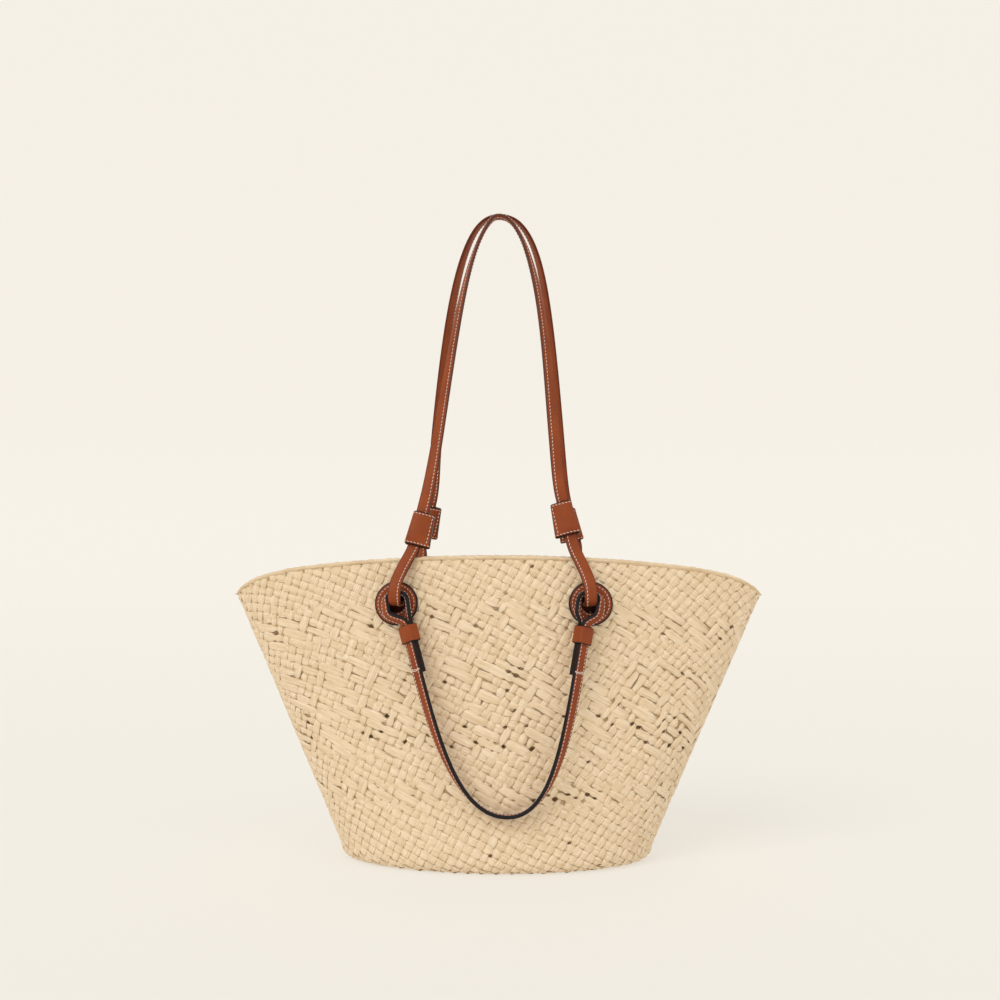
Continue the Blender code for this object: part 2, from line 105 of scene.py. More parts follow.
def ramp(tree, source, stops):
    made = tree.nodes.new("ShaderNodeValToRGB")
    elements = made.color_ramp.elements
    for i, (place, colour) in enumerate(stops):
        element = elements[i] if i < 2 else elements.new(place)
        element.position = place
        element.color = (*colour, 1)
    tree.links.new(source, made.inputs["Fac"])
    return made.outputs["Color"]


def multiply(tree, a, b, amount=1.0):
    made = node(tree, "ShaderNodeMix", data_type="RGBA", blend_type="MULTIPLY")
    made.inputs[0].default_value = amount
    tree.links.new(a, made.inputs[6])
    tree.links.new(b, made.inputs[7])
    return made.outputs[2]


def noise_on(tree, vector, scale, stretch, detail=3.0):
    """Noise over the strand's own coordinates: metres across, metres along, strand number."""
    mapping = node(tree, "ShaderNodeMapping")
    mapping.inputs["Scale"].default_value = stretch
    tree.links.new(vector, mapping.inputs["Vector"])
    made = node(tree, "ShaderNodeTexNoise", Scale=scale, Detail=detail)
    tree.links.new(mapping.outputs["Vector"], made.inputs["Vector"])
    return made.outputs["Fac"]


def bump(tree, shader, height, strength, distance):
    made = node(tree, "ShaderNodeBump", Strength=strength, Distance=distance)
    tree.links.new(height, made.inputs["Height"])
    tree.links.new(made.outputs["Normal"], shader.inputs["Normal"])


def straw_material(name, light, dark):
    """Dry raffia: lengthwise fibres, a tone for each strand, slightly sheeny."""
    material, tree, shader = new_material(name, light, 0.6, Sheen_Weight=0.15)
    lay = node(tree, "ShaderNodeAttribute", attribute_name="lay")
    tone = node(tree, "ShaderNodeAttribute", attribute_name="tone")
    fibre = noise_on(tree, lay.outputs["Vector"], 1.0, (2600, 90, 3.1), 4.0)
    coarse = noise_on(tree, lay.outputs["Vector"], 1.0, (820, 26, 5.3), 2.0)
    patch = noise_on(tree, lay.outputs["Vector"], 1.0, (120, 45, 7.7), 2.0)
    base = ramp(tree, tone.outputs["Fac"], [(0.0, dark), (0.55, light), (1.0, light)])
    lines = ramp(tree, fibre, [(0.30, (0.74, 0.66, 0.52)), (0.58, (1, 1, 1))])
    spots = ramp(tree, patch, [(0.32, (0.93, 0.90, 0.84)), (0.62, (1, 1, 1))])
    streaks = ramp(tree, coarse, [(0.34, (0.80, 0.74, 0.62)), (0.60, (1, 1, 1))])
    colour = multiply(tree, multiply(tree, base, lines, 0.6), spots, 0.8)
    colour = multiply(tree, colour, streaks, 0.75)
    tree.links.new(colour, shader.inputs["Base Color"])
    rough = ramp(tree, fibre, [(0.3, (0.75, 0.75, 0.75)), (0.7, (0.5, 0.5, 0.5))])
    tree.links.new(rough, shader.inputs["Roughness"])
    both = node(tree, "ShaderNodeMath", operation="ADD")
    tree.links.new(fibre, both.inputs[0])
    tree.links.new(coarse, both.inputs[1])
    bump(tree, shader, both.outputs[0], 0.6, 0.0006)
    return material


def leather_material(name, light, dark, roughness):
    """Smooth tan hide: pores, slow tone changes, darker towards its edges."""
    material, tree, shader = new_material(name, light, roughness, Specular_IOR_Level=0.19)
    place = node(tree, "ShaderNodeTexCoord").outputs["Object"]
    cells = node(tree, "ShaderNodeTexVoronoi", Scale=1500.0)
    tree.links.new(place, cells.inputs["Vector"])
    slow = node(tree, "ShaderNodeTexNoise", Scale=45.0, Detail=4.0)
    tree.links.new(place, slow.inputs["Vector"])
    fine = node(tree, "ShaderNodeTexNoise", Scale=900.0, Detail=3.0)
    tree.links.new(place, fine.inputs["Vector"])
    lay = node(tree, "ShaderNodeAttribute", attribute_name="tone")
    base = ramp(tree, slow.outputs["Fac"], [(0.3, dark), (0.7, light)])
    edge = ramp(tree, lay.outputs["Fac"], [(0.0, (0.40, 0.30, 0.28)), (0.24, (1, 1, 1))])
    grain = ramp(tree, fine.outputs["Fac"], [(0.3, (0.86, 0.84, 0.82)), (0.6, (1, 1, 1))])
    colour = multiply(tree, multiply(tree, base, edge), grain)
    tree.links.new(colour, shader.inputs["Base Color"])
    rough = ramp(
        tree,
        fine.outputs["Fac"],
        [(0.3, (roughness + 0.14,) * 3), (0.7, (roughness - 0.05,) * 3)],
    )
    tree.links.new(rough, shader.inputs["Roughness"])
    bump(tree, shader, cells.outputs["Distance"], 0.16, 0.0002)
    return material


def plain_material(name, light, dark, roughness, scale, depth, gloss):
    """Edge paint or thread: a little mottled, with a fine uneven surface."""
    material, tree, shader = new_material(name, light, roughness, Specular_IOR_Level=gloss)
    place = node(tree, "ShaderNodeTexCoord").outputs["Object"]
    made = node(tree, "ShaderNodeTexNoise", Scale=scale, Detail=3.0)
    tree.links.new(place, made.inputs["Vector"])
    colour = ramp(tree, made.outputs["Fac"], [(0.35, dark), (0.65, light)])
    tree.links.new(colour, shader.inputs["Base Color"])
    bump(tree, shader, made.outputs["Fac"], 0.3, depth)
    return material


STRAW = straw_material("plaited_straw", (0.91, 0.735, 0.525), (0.83, 0.645, 0.42))
# Darker straw for the sheet behind the strands: painted shade, seen in the gaps between them.
PAINTED_SHADE_STRAW = straw_material("shaded_straw", (0.60, 0.43, 0.22), (0.50, 0.34, 0.16))
STRAW_RIM = straw_material("rim_straw", (0.90, 0.72, 0.50), (0.80, 0.60, 0.38))
TAN = leather_material("tan_leather", (0.305, 0.064, 0.0135), (0.240, 0.047, 0.011), 0.44)
PAINT = plain_material("edge_paint", (0.009, 0.009, 0.010), (0.004, 0.004, 0.005), 0.42, 700, 0.0001, 0.22)
SEAM = plain_material("folded_edge", (0.13, 0.035, 0.014), (0.07, 0.020, 0.010), 0.5, 700, 0.0001, 0.3)
THREAD = plain_material("thread", (0.80, 0.64, 0.55), (0.62, 0.47, 0.39), 0.7, 3000, 0.0002, 0.3)


def new_mesh(name, points, faces, materials):
    mesh = bpy.data.meshes.new(name)
    mesh.from_pydata(np.asarray(points, float).tolist(), [], [list(face) for face in faces])
    for material in materials:
        mesh.materials.append(material)
    return mesh


def new_object(name, data):
    item = bpy.data.objects.new(name, data)
    bpy.context.scene.collection.objects.link(item)
    return item


def add_mesh(name, points, faces, material, **attributes):
    """A smooth mesh object with its attributes: tone is one number a point, lay is three."""
    mesh = new_mesh(name, points, np.asarray(faces).tolist(), [material])
    for key, values in attributes.items():
        kind = "FLOAT_VECTOR" if key == "lay" else "FLOAT"
        field = "vector" if key == "lay" else "value"
        made = mesh.attributes.new(key, kind, "POINT")
        made.data.foreach_set(field, np.asarray(values, np.float32).ravel())
    mesh.polygons.foreach_set("use_smooth", np.ones(len(mesh.polygons), bool))
    mesh.validate()
    return new_object(name, mesh)


def quads(index, round_rows=False, round_columns=True):
    """Four-sided faces between neighbours of a grid of point numbers, closed in either way."""
    if round_rows:
        index = np.concatenate([index, index[:1]])
    if round_columns:
        index = np.concatenate([index, index[:, :1]], 1)
    a, b = index[:-1], index[1:]
    return np.stack([a[:, :-1], a[:, 1:], b[:, 1:], b[:, :-1]], -1).reshape(-1, 4)


def arc_length(points):
    """Distance along a line of points, from its start to each of them."""
    return np.concatenate([[0], np.cumsum(np.linalg.norm(np.diff(points, axis=0), axis=1))])


def unit(vectors):
    return vectors / np.linalg.norm(vectors, axis=-1, keepdims=True)


# Basket surface
def shell(angle, z):
    """Points of the outer oval at height z."""
    full = 1 - (1 - MOUTH_FULLNESS) * np.clip(z / RIM_HEIGHT, 0, 1)
    x = (BASE_HALF_WIDTH + FLARE * z) * np.cos(angle)
    y = (BASE_HALF_DEPTH - TAPER * z) * (full * np.sin(angle) + (1 - full) * np.sin(angle) ** 3)
    return x, y


MID = 0.0019
ROUND_V = -0.075


class Basket:
    """The middle surface of the wall over u, once round by arc length, and v, base edge to rim."""

    columns, rows, fine = 1440, 150, 4320

    def __init__(self):
        self.v = np.linspace(ROUND_V, 1.0, self.rows)
        angle = np.linspace(0, 2 * np.pi, self.fine + 1)
        reach = np.cos(angle) ** 2
        rim = RIM_HEIGHT - RIM_SAG * reach - RIM_CORNER_DROP * reach**5
        grid = np.zeros((self.rows, self.columns, 3))
        for i, v in enumerate(self.v):
            z = BASE_RADIUS + max(v, 0) * (rim - BASE_RADIUS)
            turn = min(v, 0) / ROUND_V * np.pi / 2
            x, y = shell(angle, z)
            inset = BASE_RADIUS * (1 - math.cos(turn))
            z = z - BASE_RADIUS * math.sin(turn)
            out = np.stack([np.gradient(y), -np.gradient(x)], 1)
            out /= np.linalg.norm(out, axis=1)[:, None]
            points = np.stack([x - out[:, 0] * inset, y - out[:, 1] * inset, z], 1)
            step = np.linalg.norm(np.diff(np.stack([x, y, z], 1), axis=0), axis=1)
            way = np.concatenate([[0], np.cumsum(step)])
            share = np.arange(self.columns) / self.columns
            for k in range(3):
                grid[i, :, k] = np.interp(share * way[-1], way, points[:, k])
        along = np.roll(grid, -1, 1) - np.roll(grid, 1, 1)
        up = np.gradient(grid, axis=0)
        normal = np.cross(along, up)
        self.normal = normal / np.linalg.norm(normal, axis=2)[..., None]
        self.grid = grid - self.normal * MID

    def at(self, u, v):
        """Points and outward normals at arrays u and v."""
        col = (u % 1.0) * self.columns
        row = np.clip((v - ROUND_V) / (1 - ROUND_V), 0, 1) * (self.rows - 1)
        c0, r0 = np.floor(col).astype(int), np.minimum(np.floor(row).astype(int), self.rows - 2)
        fc, fr = (col - c0)[..., None], (row - r0)[..., None]
        c0, c1 = c0 % self.columns, (c0 + 1) % self.columns

        def mix(field):
            low = field[r0, c0] * (1 - fc) + field[r0, c1] * fc
            high = field[r0 + 1, c0] * (1 - fc) + field[r0 + 1, c1] * fc
            return low * (1 - fr) + high * fr

        normal = mix(self.normal)
        return mix(self.grid), normal / np.linalg.norm(normal, axis=-1)[..., None]


basket = Basket()

# Weave: strand family A runs down to the right, family B up to the right, seen from outside.
# Each zone keeps its own strand count, so that cells stay one size as the basket widens.
A_ANGLE, B_ANGLE = math.radians(25), math.radians(58)
A_SPACING, B_SPACING = 0.0188, 0.0096
RISE, THICK = 0.00088, 0.00145
SECTION = np.array(
    [(-1, 0), (-0.74, 0.40), (-0.26, 0.60), (0.26, 0.60), (0.74, 0.40), (1, 0), (0.55, -0.4), (-0.55, -0.4)]
)
ZONES = (
    (ROUND_V, 0.178, "plain"),
    (0.178, 0.246, "row"),
    (0.246, 0.345, "plain"),
    (0.345, 0.505, "diamond"),
    (0.505, 0.668, "diamond"),
    (0.668, 0.742, "plain"),
    (0.742, 0.852, "row"),
    (0.852, 1.0, "plain"),
)
OVERLAP, PER_CROSSING, RIM_FOLDS = 0.012, 4, 128


def a_over(i, j, style, seed):
    """Whether strand i of family A passes over strand j of family B."""
    plain = (i + j) % 2 == 0
    floats = (i + j) % 4 != 0
    if style == "plain":
        return plain
    if style == "row":
        broken = (j // 9 + i // 2) % 3 == 0
        return np.where(broken, plain, floats)
    block = ((i + j // 6) // 3 + (j + seed) // 7) % 2 == 0
    return np.where(block, floats, plain)


def float_share(i, j, style, seed):
    """1 where the crossing belongs to a float, 0 in plain weave."""
    if style == "plain":
        return np.zeros(np.broadcast(i, j).shape)
    if style == "row":
        return np.where((j // 9 + i // 2) % 3 == 0, 0.3, 1.0)
    return np.where(((i + j // 6) // 3 + (j + seed) // 7) % 2 == 0, 1.0, 0.15)


def ribbons(points, normals, widths, heights, tone, start):
    """Strands of rounded flat section: arrays of strand by sample, joined into one mesh's data."""
    count, samples = widths.shape
    tangent = np.gradient(points, axis=1)
    tangent /= np.linalg.norm(tangent, axis=2)[..., None]
    across = np.cross(tangent, normals)
    across /= np.linalg.norm(across, axis=2)[..., None]
    side = SECTION[:, 0] / 2
    lift = SECTION[:, 1] * THICK
    spread = widths[..., None] * side
    verts = (
        points[:, :, None]
        + across[:, :, None] * spread[..., None]
        + normals[:, :, None] * (heights[..., None] + lift)[..., None]
    )
    way = np.concatenate(
        [np.zeros((count, 1)), np.cumsum(np.linalg.norm(np.diff(points, axis=1), axis=2), axis=1)], 1
    )
    m = len(SECTION)
    lay = np.stack(
        [
            np.broadcast_to(spread, (count, samples, m)),
            np.broadcast_to(way[..., None], (count, samples, m)),
            np.broadcast_to((np.arange(count) * 1.37 + start)[:, None, None], (count, samples, m)),
        ],
        -1,
    )
    tones = np.broadcast_to(tone[..., None], (count, samples, m))
    index = np.arange(count * samples * m).reshape(count, samples, m)
    a, b = index[:, :-1], index[:, 1:]
    faces = np.stack([a, np.roll(a, -1, 2), np.roll(b, -1, 2), b], -1).reshape(-1, 4)
    return verts.reshape(-1, 3), faces, lay.reshape(-1, 3), tones.reshape(-1)


def strand_profile(place, over, width, slow):
    """Height and width along a strand from its fractional crossing numbers and over flags."""
    share = place - np.floor(place)
    ease = share * share * (3 - 2 * share)
    level = np.where(over[0], 1.0, -1.0) * (1 - ease) + np.where(over[1], 1.0, -1.0) * ease
    body = smooth_rows(smooth_rows(smooth_rows(level)))
    swell = np.cos(2 * np.pi * share)
    heights = RISE * (level + 0.16 * swell * (level > 0) + 0.25 * np.clip(body, 0, 1))
    return heights, width * slow * (0.93 + 0.10 * level + 0.13 * body + 0.04 * swell)


def level_girth(v):
    """Length once round the basket at v."""
    points = basket.at(np.arange(720) / 720, np.full(720, v))[0]
    return np.linalg.norm(points - np.roll(points, 1, 0), axis=1).sum()


def wavered(u, v):
    """Places on the wall moved by the slow and the fine hand-made waver shared by both families."""
    turn = 2 * np.pi * u
    inner = np.clip((v - 0.03) * (0.97 - v) * 12, 0, 1)
    rows = 0.006 * np.sin(7 * turn + 9 * v) + 0.0013 * np.sin(31 * turn + 43 * v)
    sides = 0.00025 * np.sin(29 * turn - 37 * v + 1) + 0.00016 * np.sin(53 * turn + 83 * v)
    return u + sides * inner, v + rows * inner


def zone_layout(zone):
    """Strand counts of both families and how far each leans round the basket per unit of v."""
    girth = level_girth(max(0.0, (zone[0] + zone[1]) / 2))
    counts = [4 * round(girth / A_SPACING / 4), 4 * round(girth / B_SPACING / 4)]
    tall = RIM_HEIGHT - BASE_RADIUS - 0.008
    return counts, [-tall / math.tan(A_ANGLE) / girth, tall / math.tan(B_ANGLE) / girth]


def zone_holes(zone):
    """Which gaps between four strands stay open, by strand numbers, and their middles."""
    (a_count, b_count), (a_lean, b_lean) = zone_layout(zone)
    i, j = np.meshgrid(np.arange(a_count), np.arange(b_count), indexing="ij")
    turn = (j + 0.5) / b_count - (i + 0.5) / a_count
    span = a_lean - b_lean
    chance = np.zeros(i.shape)
    u_hole, v_hole = np.zeros(i.shape), np.zeros(i.shape)
    for k in range(-3, 4):
        v = (turn + k) / span
        u = (i + 0.5) / a_count + a_lean * v
        inside = (v > zone[0] + 0.01) & (v < zone[1] - 0.01)
        x, y = np.moveaxis(basket.at(u, np.clip(v, 0, 1))[0], -1, 0)[:2]
        x = x * -np.sign(y)
        spots = [(v > 0.196) & (v < 0.214) & (x > 0.02) & (x < 0.105)]
        spots += [(v > 0.35) & (v < 0.44), (v > 0.44) & (v < 0.67), (v > 0.74) & (v < 0.85)]
        odds = np.select(spots, [0.95, 0.13, 0.07, 0.05], 0.012)
        odds = odds * (1 + 1.2 * np.exp(-(((x - 0.01) / 0.09) ** 2))) / 1.6
        chance = np.where(inside, odds, chance)
        u_hole, v_hole = np.where(inside, u, u_hole), np.where(inside, v, v_hole)
    opened = rng.random(i.shape) < chance
    return opened, basket.at(*wavered(u_hole[opened], v_hole[opened]))[0]


def family(kind, zone, seed, opened):
    """All strands of one family in one zone."""
    low, high, style = zone
    counts, leans = zone_layout(zone)
    mine = 0 if kind == "A" else 1
    number, other = counts[mine], counts[1 - mine]
    lean, other_lean = leans[mine], leans[1 - mine]
    bottom = low if low == ROUND_V else low - OVERLAP
    top = high if high == 1.0 else high + OVERLAP / 2
    crossings = other * abs(lean - other_lean) * (top - bottom)
    samples = int(crossings * PER_CROSSING) + 4
    strand = np.arange(number)[:, None]
    v = np.broadcast_to(np.linspace(bottom, top, samples), (number, samples))
    u = strand / number + lean * v
    sway = 0.0008 * np.sin(v * 40 + rng.random((number, 1)) * 6.3) * rng.random((number, 1))
    points, normals = basket.at(*wavered(u + sway, v))
    tangent = np.gradient(points, axis=1)
    tangent /= np.linalg.norm(tangent, axis=2)[..., None]
    beside = basket.at(*wavered(u + 1 / number, v))[0] - points
    pitch = np.linalg.norm(beside - tangent * (beside * tangent).sum(2)[..., None], axis=2)
    place = other * (u - other_lean * v)
    below = np.floor(place).astype(int)
    flags, floats = [], 0
    for step in (0, 1):
        cross = (below + step) % other
        i, j = (strand, cross) if kind == "A" else (cross, strand)
        over = a_over(i, j, style, seed)
        floats = floats + float_share(i, j, style, seed) / 2
        flags.append(over if kind == "A" else ~over)
    between = below % other
    if kind == "A":
        beside_hole = opened[strand, between] | opened[strand - 1, between]
    else:
        beside_hole = opened[between, strand] | opened[between, strand - 1]
    near = np.exp(-(((place - below - 0.5) / 0.30) ** 2)) * beside_hole
    loose = 0.24 if kind == "B" else 0.02
    nose = np.abs(points[..., 0]) / (BASE_HALF_WIDTH + FLARE * points[..., 2])
    factor = smooth_rows(1.03 - loose * floats) + 0.22 * np.clip((nose - 0.92) / 0.08, 0, 1)
    slow = 1 + 0.12 * (rng.random((number, 1)) - 0.5) + 0.05 * np.sin(v * 60 + strand * 2.1)
    heights, widths = strand_profile(place, flags, pitch * factor, slow)
    widths = widths * (1 - 0.36 * near)
    dive = np.clip((bottom + OVERLAP - v) / OVERLAP, 0, 1) if low != ROUND_V else 0 * v
    rise = np.clip((v - top + OVERLAP) / OVERLAP, 0, 1)
    heights = heights * (1 - dive) - 0.0011 * dive
    heights = heights * (1 - 0.85 * rise)
    widths = widths * (1 - 0.25 * dive)
    drift = rng.random((number, samples // 16 + 2))
    tone = np.stack([np.interp(np.arange(samples) / 16, np.arange(drift.shape[1]), d) for d in drift])
    tone = 0.30 + 0.70 * (0.55 * rng.random((number, 1)) + 0.45 * tone)
    return ribbons(points, normals, widths, heights, tone, 1000.0 * seed + 500.0 * mine)


def smooth_rows(field):
    kernel = np.array([1, 2, 3, 2, 1]) / 9
    padded = np.pad(field.astype(float), ((0, 0), (2, 2)), mode="edge")
    return np.stack([np.convolve(row, kernel, mode="valid") for row in padded])


def hole_mask(verts, faces, radius):
    """Faces whose middle lies outside every strap hole's cylinder."""
    middle = verts[faces].mean(1)
    keep = np.ones(len(faces), bool)
    for side, end in ENDS:
        centre, axis = [np.array(v) for v in ring_frame(side, end)]
        offset = middle - centre
        depth = offset @ axis
        apart = np.linalg.norm(offset - depth[:, None] * axis, axis=1)
        keep &= (apart > radius) | (np.abs(depth) > 0.012)
    return keep


def drop_loose(verts, faces, *fields):
    """The data without points that no face uses."""
    used = np.unique(faces)
    renumber = np.full(len(verts), -1)
    renumber[used] = np.arange(len(used))
    return verts[used], renumber[faces], *[f[used] for f in fields]


def build_wall():
    pieces, middles = [], []
    for number, zone in enumerate(ZONES):
        opened, middle = zone_holes(zone)
        middles.append(middle)
        parts = [family(kind, zone, number + 1, opened) for kind in ("A", "B")]
        shift = len(parts[0][0])
        verts, lay, tone = [np.concatenate([part[k] for part in parts]) for k in (0, 2, 3)]
        faces = np.concatenate([parts[0][1], parts[1][1] + shift])
        verts[:, 2] = np.minimum(verts[:, 2], rim_height(verts) + 0.0004)
        faces = faces[hole_mask(verts, faces, 0.0100)]
        verts, faces, lay, tone = drop_loose(verts, faces, lay, tone)
        pieces.append(add_mesh(f"wall_strands_{number + 1}", verts, faces, STRAW, lay=lay, tone=tone))
    # The sheet behind all zones carries painted shade for the gaps, cut away at the holes.
    pieces.append(painted_shade_sheet(np.concatenate(middles)))
    for piece in pieces:
        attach(piece, "basket")
        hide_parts("basket_wall")


def rim_height(points):
    """Height of the mouth's edge above or below each point."""
    width = BASE_HALF_WIDTH + FLARE * points[:, 2]
    reach = np.clip(points[:, 0] / width, -1, 1) ** 2
    return RIM_HEIGHT - RIM_SAG * reach - RIM_CORNER_DROP * reach**5


def painted_shade_sheet(middles):
    """A sheet in painted shade, standing in for the strands' shaded undersides, seen only between them,
    left open at the holes.
    """
    columns, rows = 1000, 130
    u, v = np.meshgrid(np.arange(columns) / columns, np.linspace(ROUND_V, 0.995, rows), indexing="ij")
    points, normals = basket.at(u, v)
    thin = 0.00008
    both = [points + normals * thin, points - normals * thin]
    verts = np.concatenate([side.reshape(-1, 3) for side in both])
    index = np.arange(columns * rows).reshape(columns, rows)
    outer = quads(index.T)
    faces = outer[hole_mask(verts, outer, 0.0100)]
    centres = verts[faces].mean(1)
    tree = KDTree(len(middles))
    for k, middle in enumerate(middles):
        tree.insert(middle, k)
    tree.balance()
    keep = np.array([tree.find(centre)[2] > 0.0030 for centre in centres])
    faces = np.concatenate([faces[keep], faces[keep][:, ::-1] + columns * rows])
    lay = np.concatenate([np.stack([v, u, v * 0], -1).reshape(-1, 3)] * 2)
    verts, faces, lay = drop_loose(verts, faces, lay)
    return add_mesh("wall_painted_shade_sheet", verts, faces, PAINTED_SHADE_STRAW, lay=lay, tone=np.full(len(verts), 0.5))


def build_base():
    """Two crossing sets of straight strands inside the base's oval."""
    half_x = BASE_HALF_WIDTH - BASE_RADIUS + 0.004
    half_y = BASE_HALF_DEPTH - BASE_RADIUS + 0.004
    pitch, samples = 0.0092, 150
    turn = math.radians(42)
    dirs = [np.array([math.cos(turn), math.sin(turn)]), np.array([-math.sin(turn), math.cos(turn)])]
    for k in range(2):
        along, side = dirs[k], dirs[1 - k]
        reach = math.hypot(half_x * side[0], half_y * side[1])
        last = int(reach / pitch - 0.3)
        strand = np.arange(-last, last + 1)
        starts, ends = [], []
        for s in strand:
            p = side * s * pitch
            qa = (along[0] / half_x) ** 2 + (along[1] / half_y) ** 2
            qb = 2 * (p[0] * along[0] / half_x**2 + p[1] * along[1] / half_y**2)
            qc = (p[0] / half_x) ** 2 + (p[1] / half_y) ** 2 - 1
            root = math.sqrt(max(qb * qb - 4 * qa * qc, 0))
            starts.append((-qb - root) / (2 * qa))
            ends.append((-qb + root) / (2 * qa))
        t = np.linspace(starts, ends, samples, axis=1)
        flat = side * (strand * pitch)[:, None, None] + along * t[..., None]
        points = np.concatenate([flat, np.full(t.shape + (1,), WALL / 2 - 0.0002)], 2)
        normals = np.broadcast_to(np.array([0.0, 0.0, 1.0]), points.shape)
        place = t / pitch
        below = np.floor(place).astype(int)
        rows = strand[:, None]
        flags = [((rows + below + n) % 2 == 0) ^ (k == 1) for n in (0, 1)]
        widths = np.full(t.shape, pitch * 0.97)
        heights, widths = strand_profile(place, flags, widths, 1.0)
        tone = 0.2 + 0.7 * np.broadcast_to(rng.random((len(strand), 1)), t.shape)
        verts, faces, lay, tones = ribbons(points, normals, widths, heights, tone, 900.0 + 90 * k)
        piece = add_mesh(f"base_strands_{k + 1}", verts, faces, STRAW, lay=lay, tone=tones)
        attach(piece, "basket")
        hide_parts("basket_base")


def build_rim():
    """The strands folded over the mouth's edge: slanting wraps side by side, creased between."""
    steps, m = 18 * RIM_FOLDS, 16
    share = np.arange(steps) / steps
    points, normals = basket.at(share, np.ones(steps))
    uneven = 1 + 0.05 * np.sin(share * 2 * np.pi * 61) + 0.04 * np.sin(share * 2 * np.pi * 23 + 1)
    turn = 2 * np.pi * np.arange(m) / m
    flat = normals.copy()
    flat[:, 2] = 0
    flat /= np.linalg.norm(flat, axis=1)[:, None]
    centre = points + np.array([0, 0, 0.0010])
    wrap = np.abs(np.sin(share[:, None] * np.pi * RIM_FOLDS + turn / 2)) ** 0.45
    folds = 0.34 * wrap - 0.27 + 0.05 * np.cos(share[:, None] * np.pi * RIM_FOLDS - turn)
    out = np.cos(turn) * 0.0025
    up = np.sin(turn) * 0.0021
    verts = (
        centre[:, None]
        + flat[:, None] * (out[None] * (uneven[:, None] + folds))[..., None]
        + np.array([0, 0, 1.0]) * (up[None] * (uneven[:, None] + folds))[..., None]
    )
    index = np.arange(steps * m).reshape(steps, m)
    faces = quads(index.T, True)
    way = np.broadcast_to((share * 1.13)[:, None], (steps, m))
    girth = np.broadcast_to(turn * 0.0028, (steps, m))
    lay = np.stack([girth, way, np.zeros((steps, m))], -1).reshape(-1, 3)
    tone = np.broadcast_to((0.5 + 0.3 * np.sin(share * 2 * np.pi * 17))[:, None], (steps, m))
    piece = add_mesh("rim_strand_folded", verts.reshape(-1, 3), faces, STRAW_RIM, lay=lay, tone=tone)
    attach(piece, "basket")
    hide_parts("rim_strand")


# Sides and leather lines, as in the part
class Side:
    def __init__(self, name, turned, cuff_centres, knee_shifts, spread):
        self.name, self.turned = name, turned
        self.cuff_centres, self.knee_shifts, self.spread = cuff_centres, knee_shifts, spread

    def place(self, x, out, z):
        return Vector((-x, out, z)) if self.turned else Vector((x, -out, z))

    def hand(self, end):
        if not self.turned:
            return end
        return "right" if end == "left" else "left"

    def node(self, end, piece):
        return f"{self.name}_{self.hand(end)}_{piece}"


SIDES = (
    Side("front", False, {"left": 0.3215, "right": 0.3315}, {"left": 0.0065, "right": 0.0015}, 0.0),
    Side("rear", True, {"left": 0.3275, "right": 0.3315}, {"left": 0.0015, "right": 0.0015}, 0.0045),
)
ENDS = [(side, end) for side in SIDES for end in ("left", "right")]


CROWN_SINK = {"front": 0.0015, "rear": -0.0030}
DRIFTS = {
    "front": {
        "west": (0.0, 0.0002, 0.0018, 0.0062, 0.0082, 0.0076, 0.0030),
        "east": (0.0, 0.0002, 0.0020, 0.0034, 0.0026, 0.0022, 0.0030),
    },
    "rear": {
        "west": (0.0, -0.0002, -0.0022, -0.0010, 0.0004, 0.0012, 0.0030),
        "east": (0.0, 0.0002, 0.0020, 0.0046, 0.0072, 0.0064, 0.0030),
    },
}


def wall_out(x, z):
    angle = math.acos(max(-1.0, min(1.0, x / (BASE_HALF_WIDTH + FLARE * z))))
    return float(shell(angle, z)[1])


def ring_frame(side, end):
    """Centre and outward normal of a strap hole on the wall's outer face."""
    x, step = (-RING_X if end == "left" else RING_X), 0.0005
    along = Vector((2 * step, wall_out(x - step, RING_Z) - wall_out(x + step, RING_Z), 0))
    up = Vector((0, wall_out(x, RING_Z - step) - wall_out(x, RING_Z + step), 2 * step))
    normal = along.cross(up).normalized()
    if side.turned:
        normal = Matrix.Rotation(math.pi, 3, "Z") @ normal
    return side.place(x, wall_out(x, RING_Z), RING_Z), normal


def catmull(points, steps):
    """A smooth line through points, with steps pieces between each two."""
    ends = [2 * points[0] - points[1], *points, 2 * points[-1] - points[-2]]
    line = []
    for i in range(1, len(ends) - 2):
        a, b, c, d = ends[i - 1 : i + 3]
        for j in range(steps):
            t = j / steps
            cubic = 3 * b - a - 3 * c + d
            line.append(0.5 * (2 * b + (c - a) * t + (2 * a - 5 * b + 4 * c - d) * t**2 + cubic * t**3))
    line.append(points[-1].copy())
    return line


def bezier(a, b, c, d, steps):
    line = []
    for i in range(steps + 1):
        t = i / steps
        s = 1 - t
        line.append(s**3 * a + 3 * s * s * t * b + 3 * s * t * t * c + t**3 * d)
    return line


def limb_x(side, z):
    return LIMB_MIDDLE[0] + side.spread - (z - LIMB_MIDDLE[1]) * math.tan(LIMB_TILT)


def limb_out(z, layer):
    return HANDLE_TOP_OUT + (HANDLE_TOP - z) * HANDLE_LEAN - layer * LAYER


def arch_drift(side, p):
    """How far the slack arch has settled sideways at a point of its flat line."""
    east = (p.x > 0) != side.turned
    heights = (FLEX_Z, 0.368, 0.418, 0.521, 0.598, 0.630, HANDLE_TOP)
    drift = DRIFTS[side.name]["east" if east else "west"]
    line = catmull([Vector((z, d)) for z, d in zip(heights, drift)], 12)
    found = float(np.interp(p.z, [q.x for q in line], [q.y for q in line]))
    return -found if side.turned else found


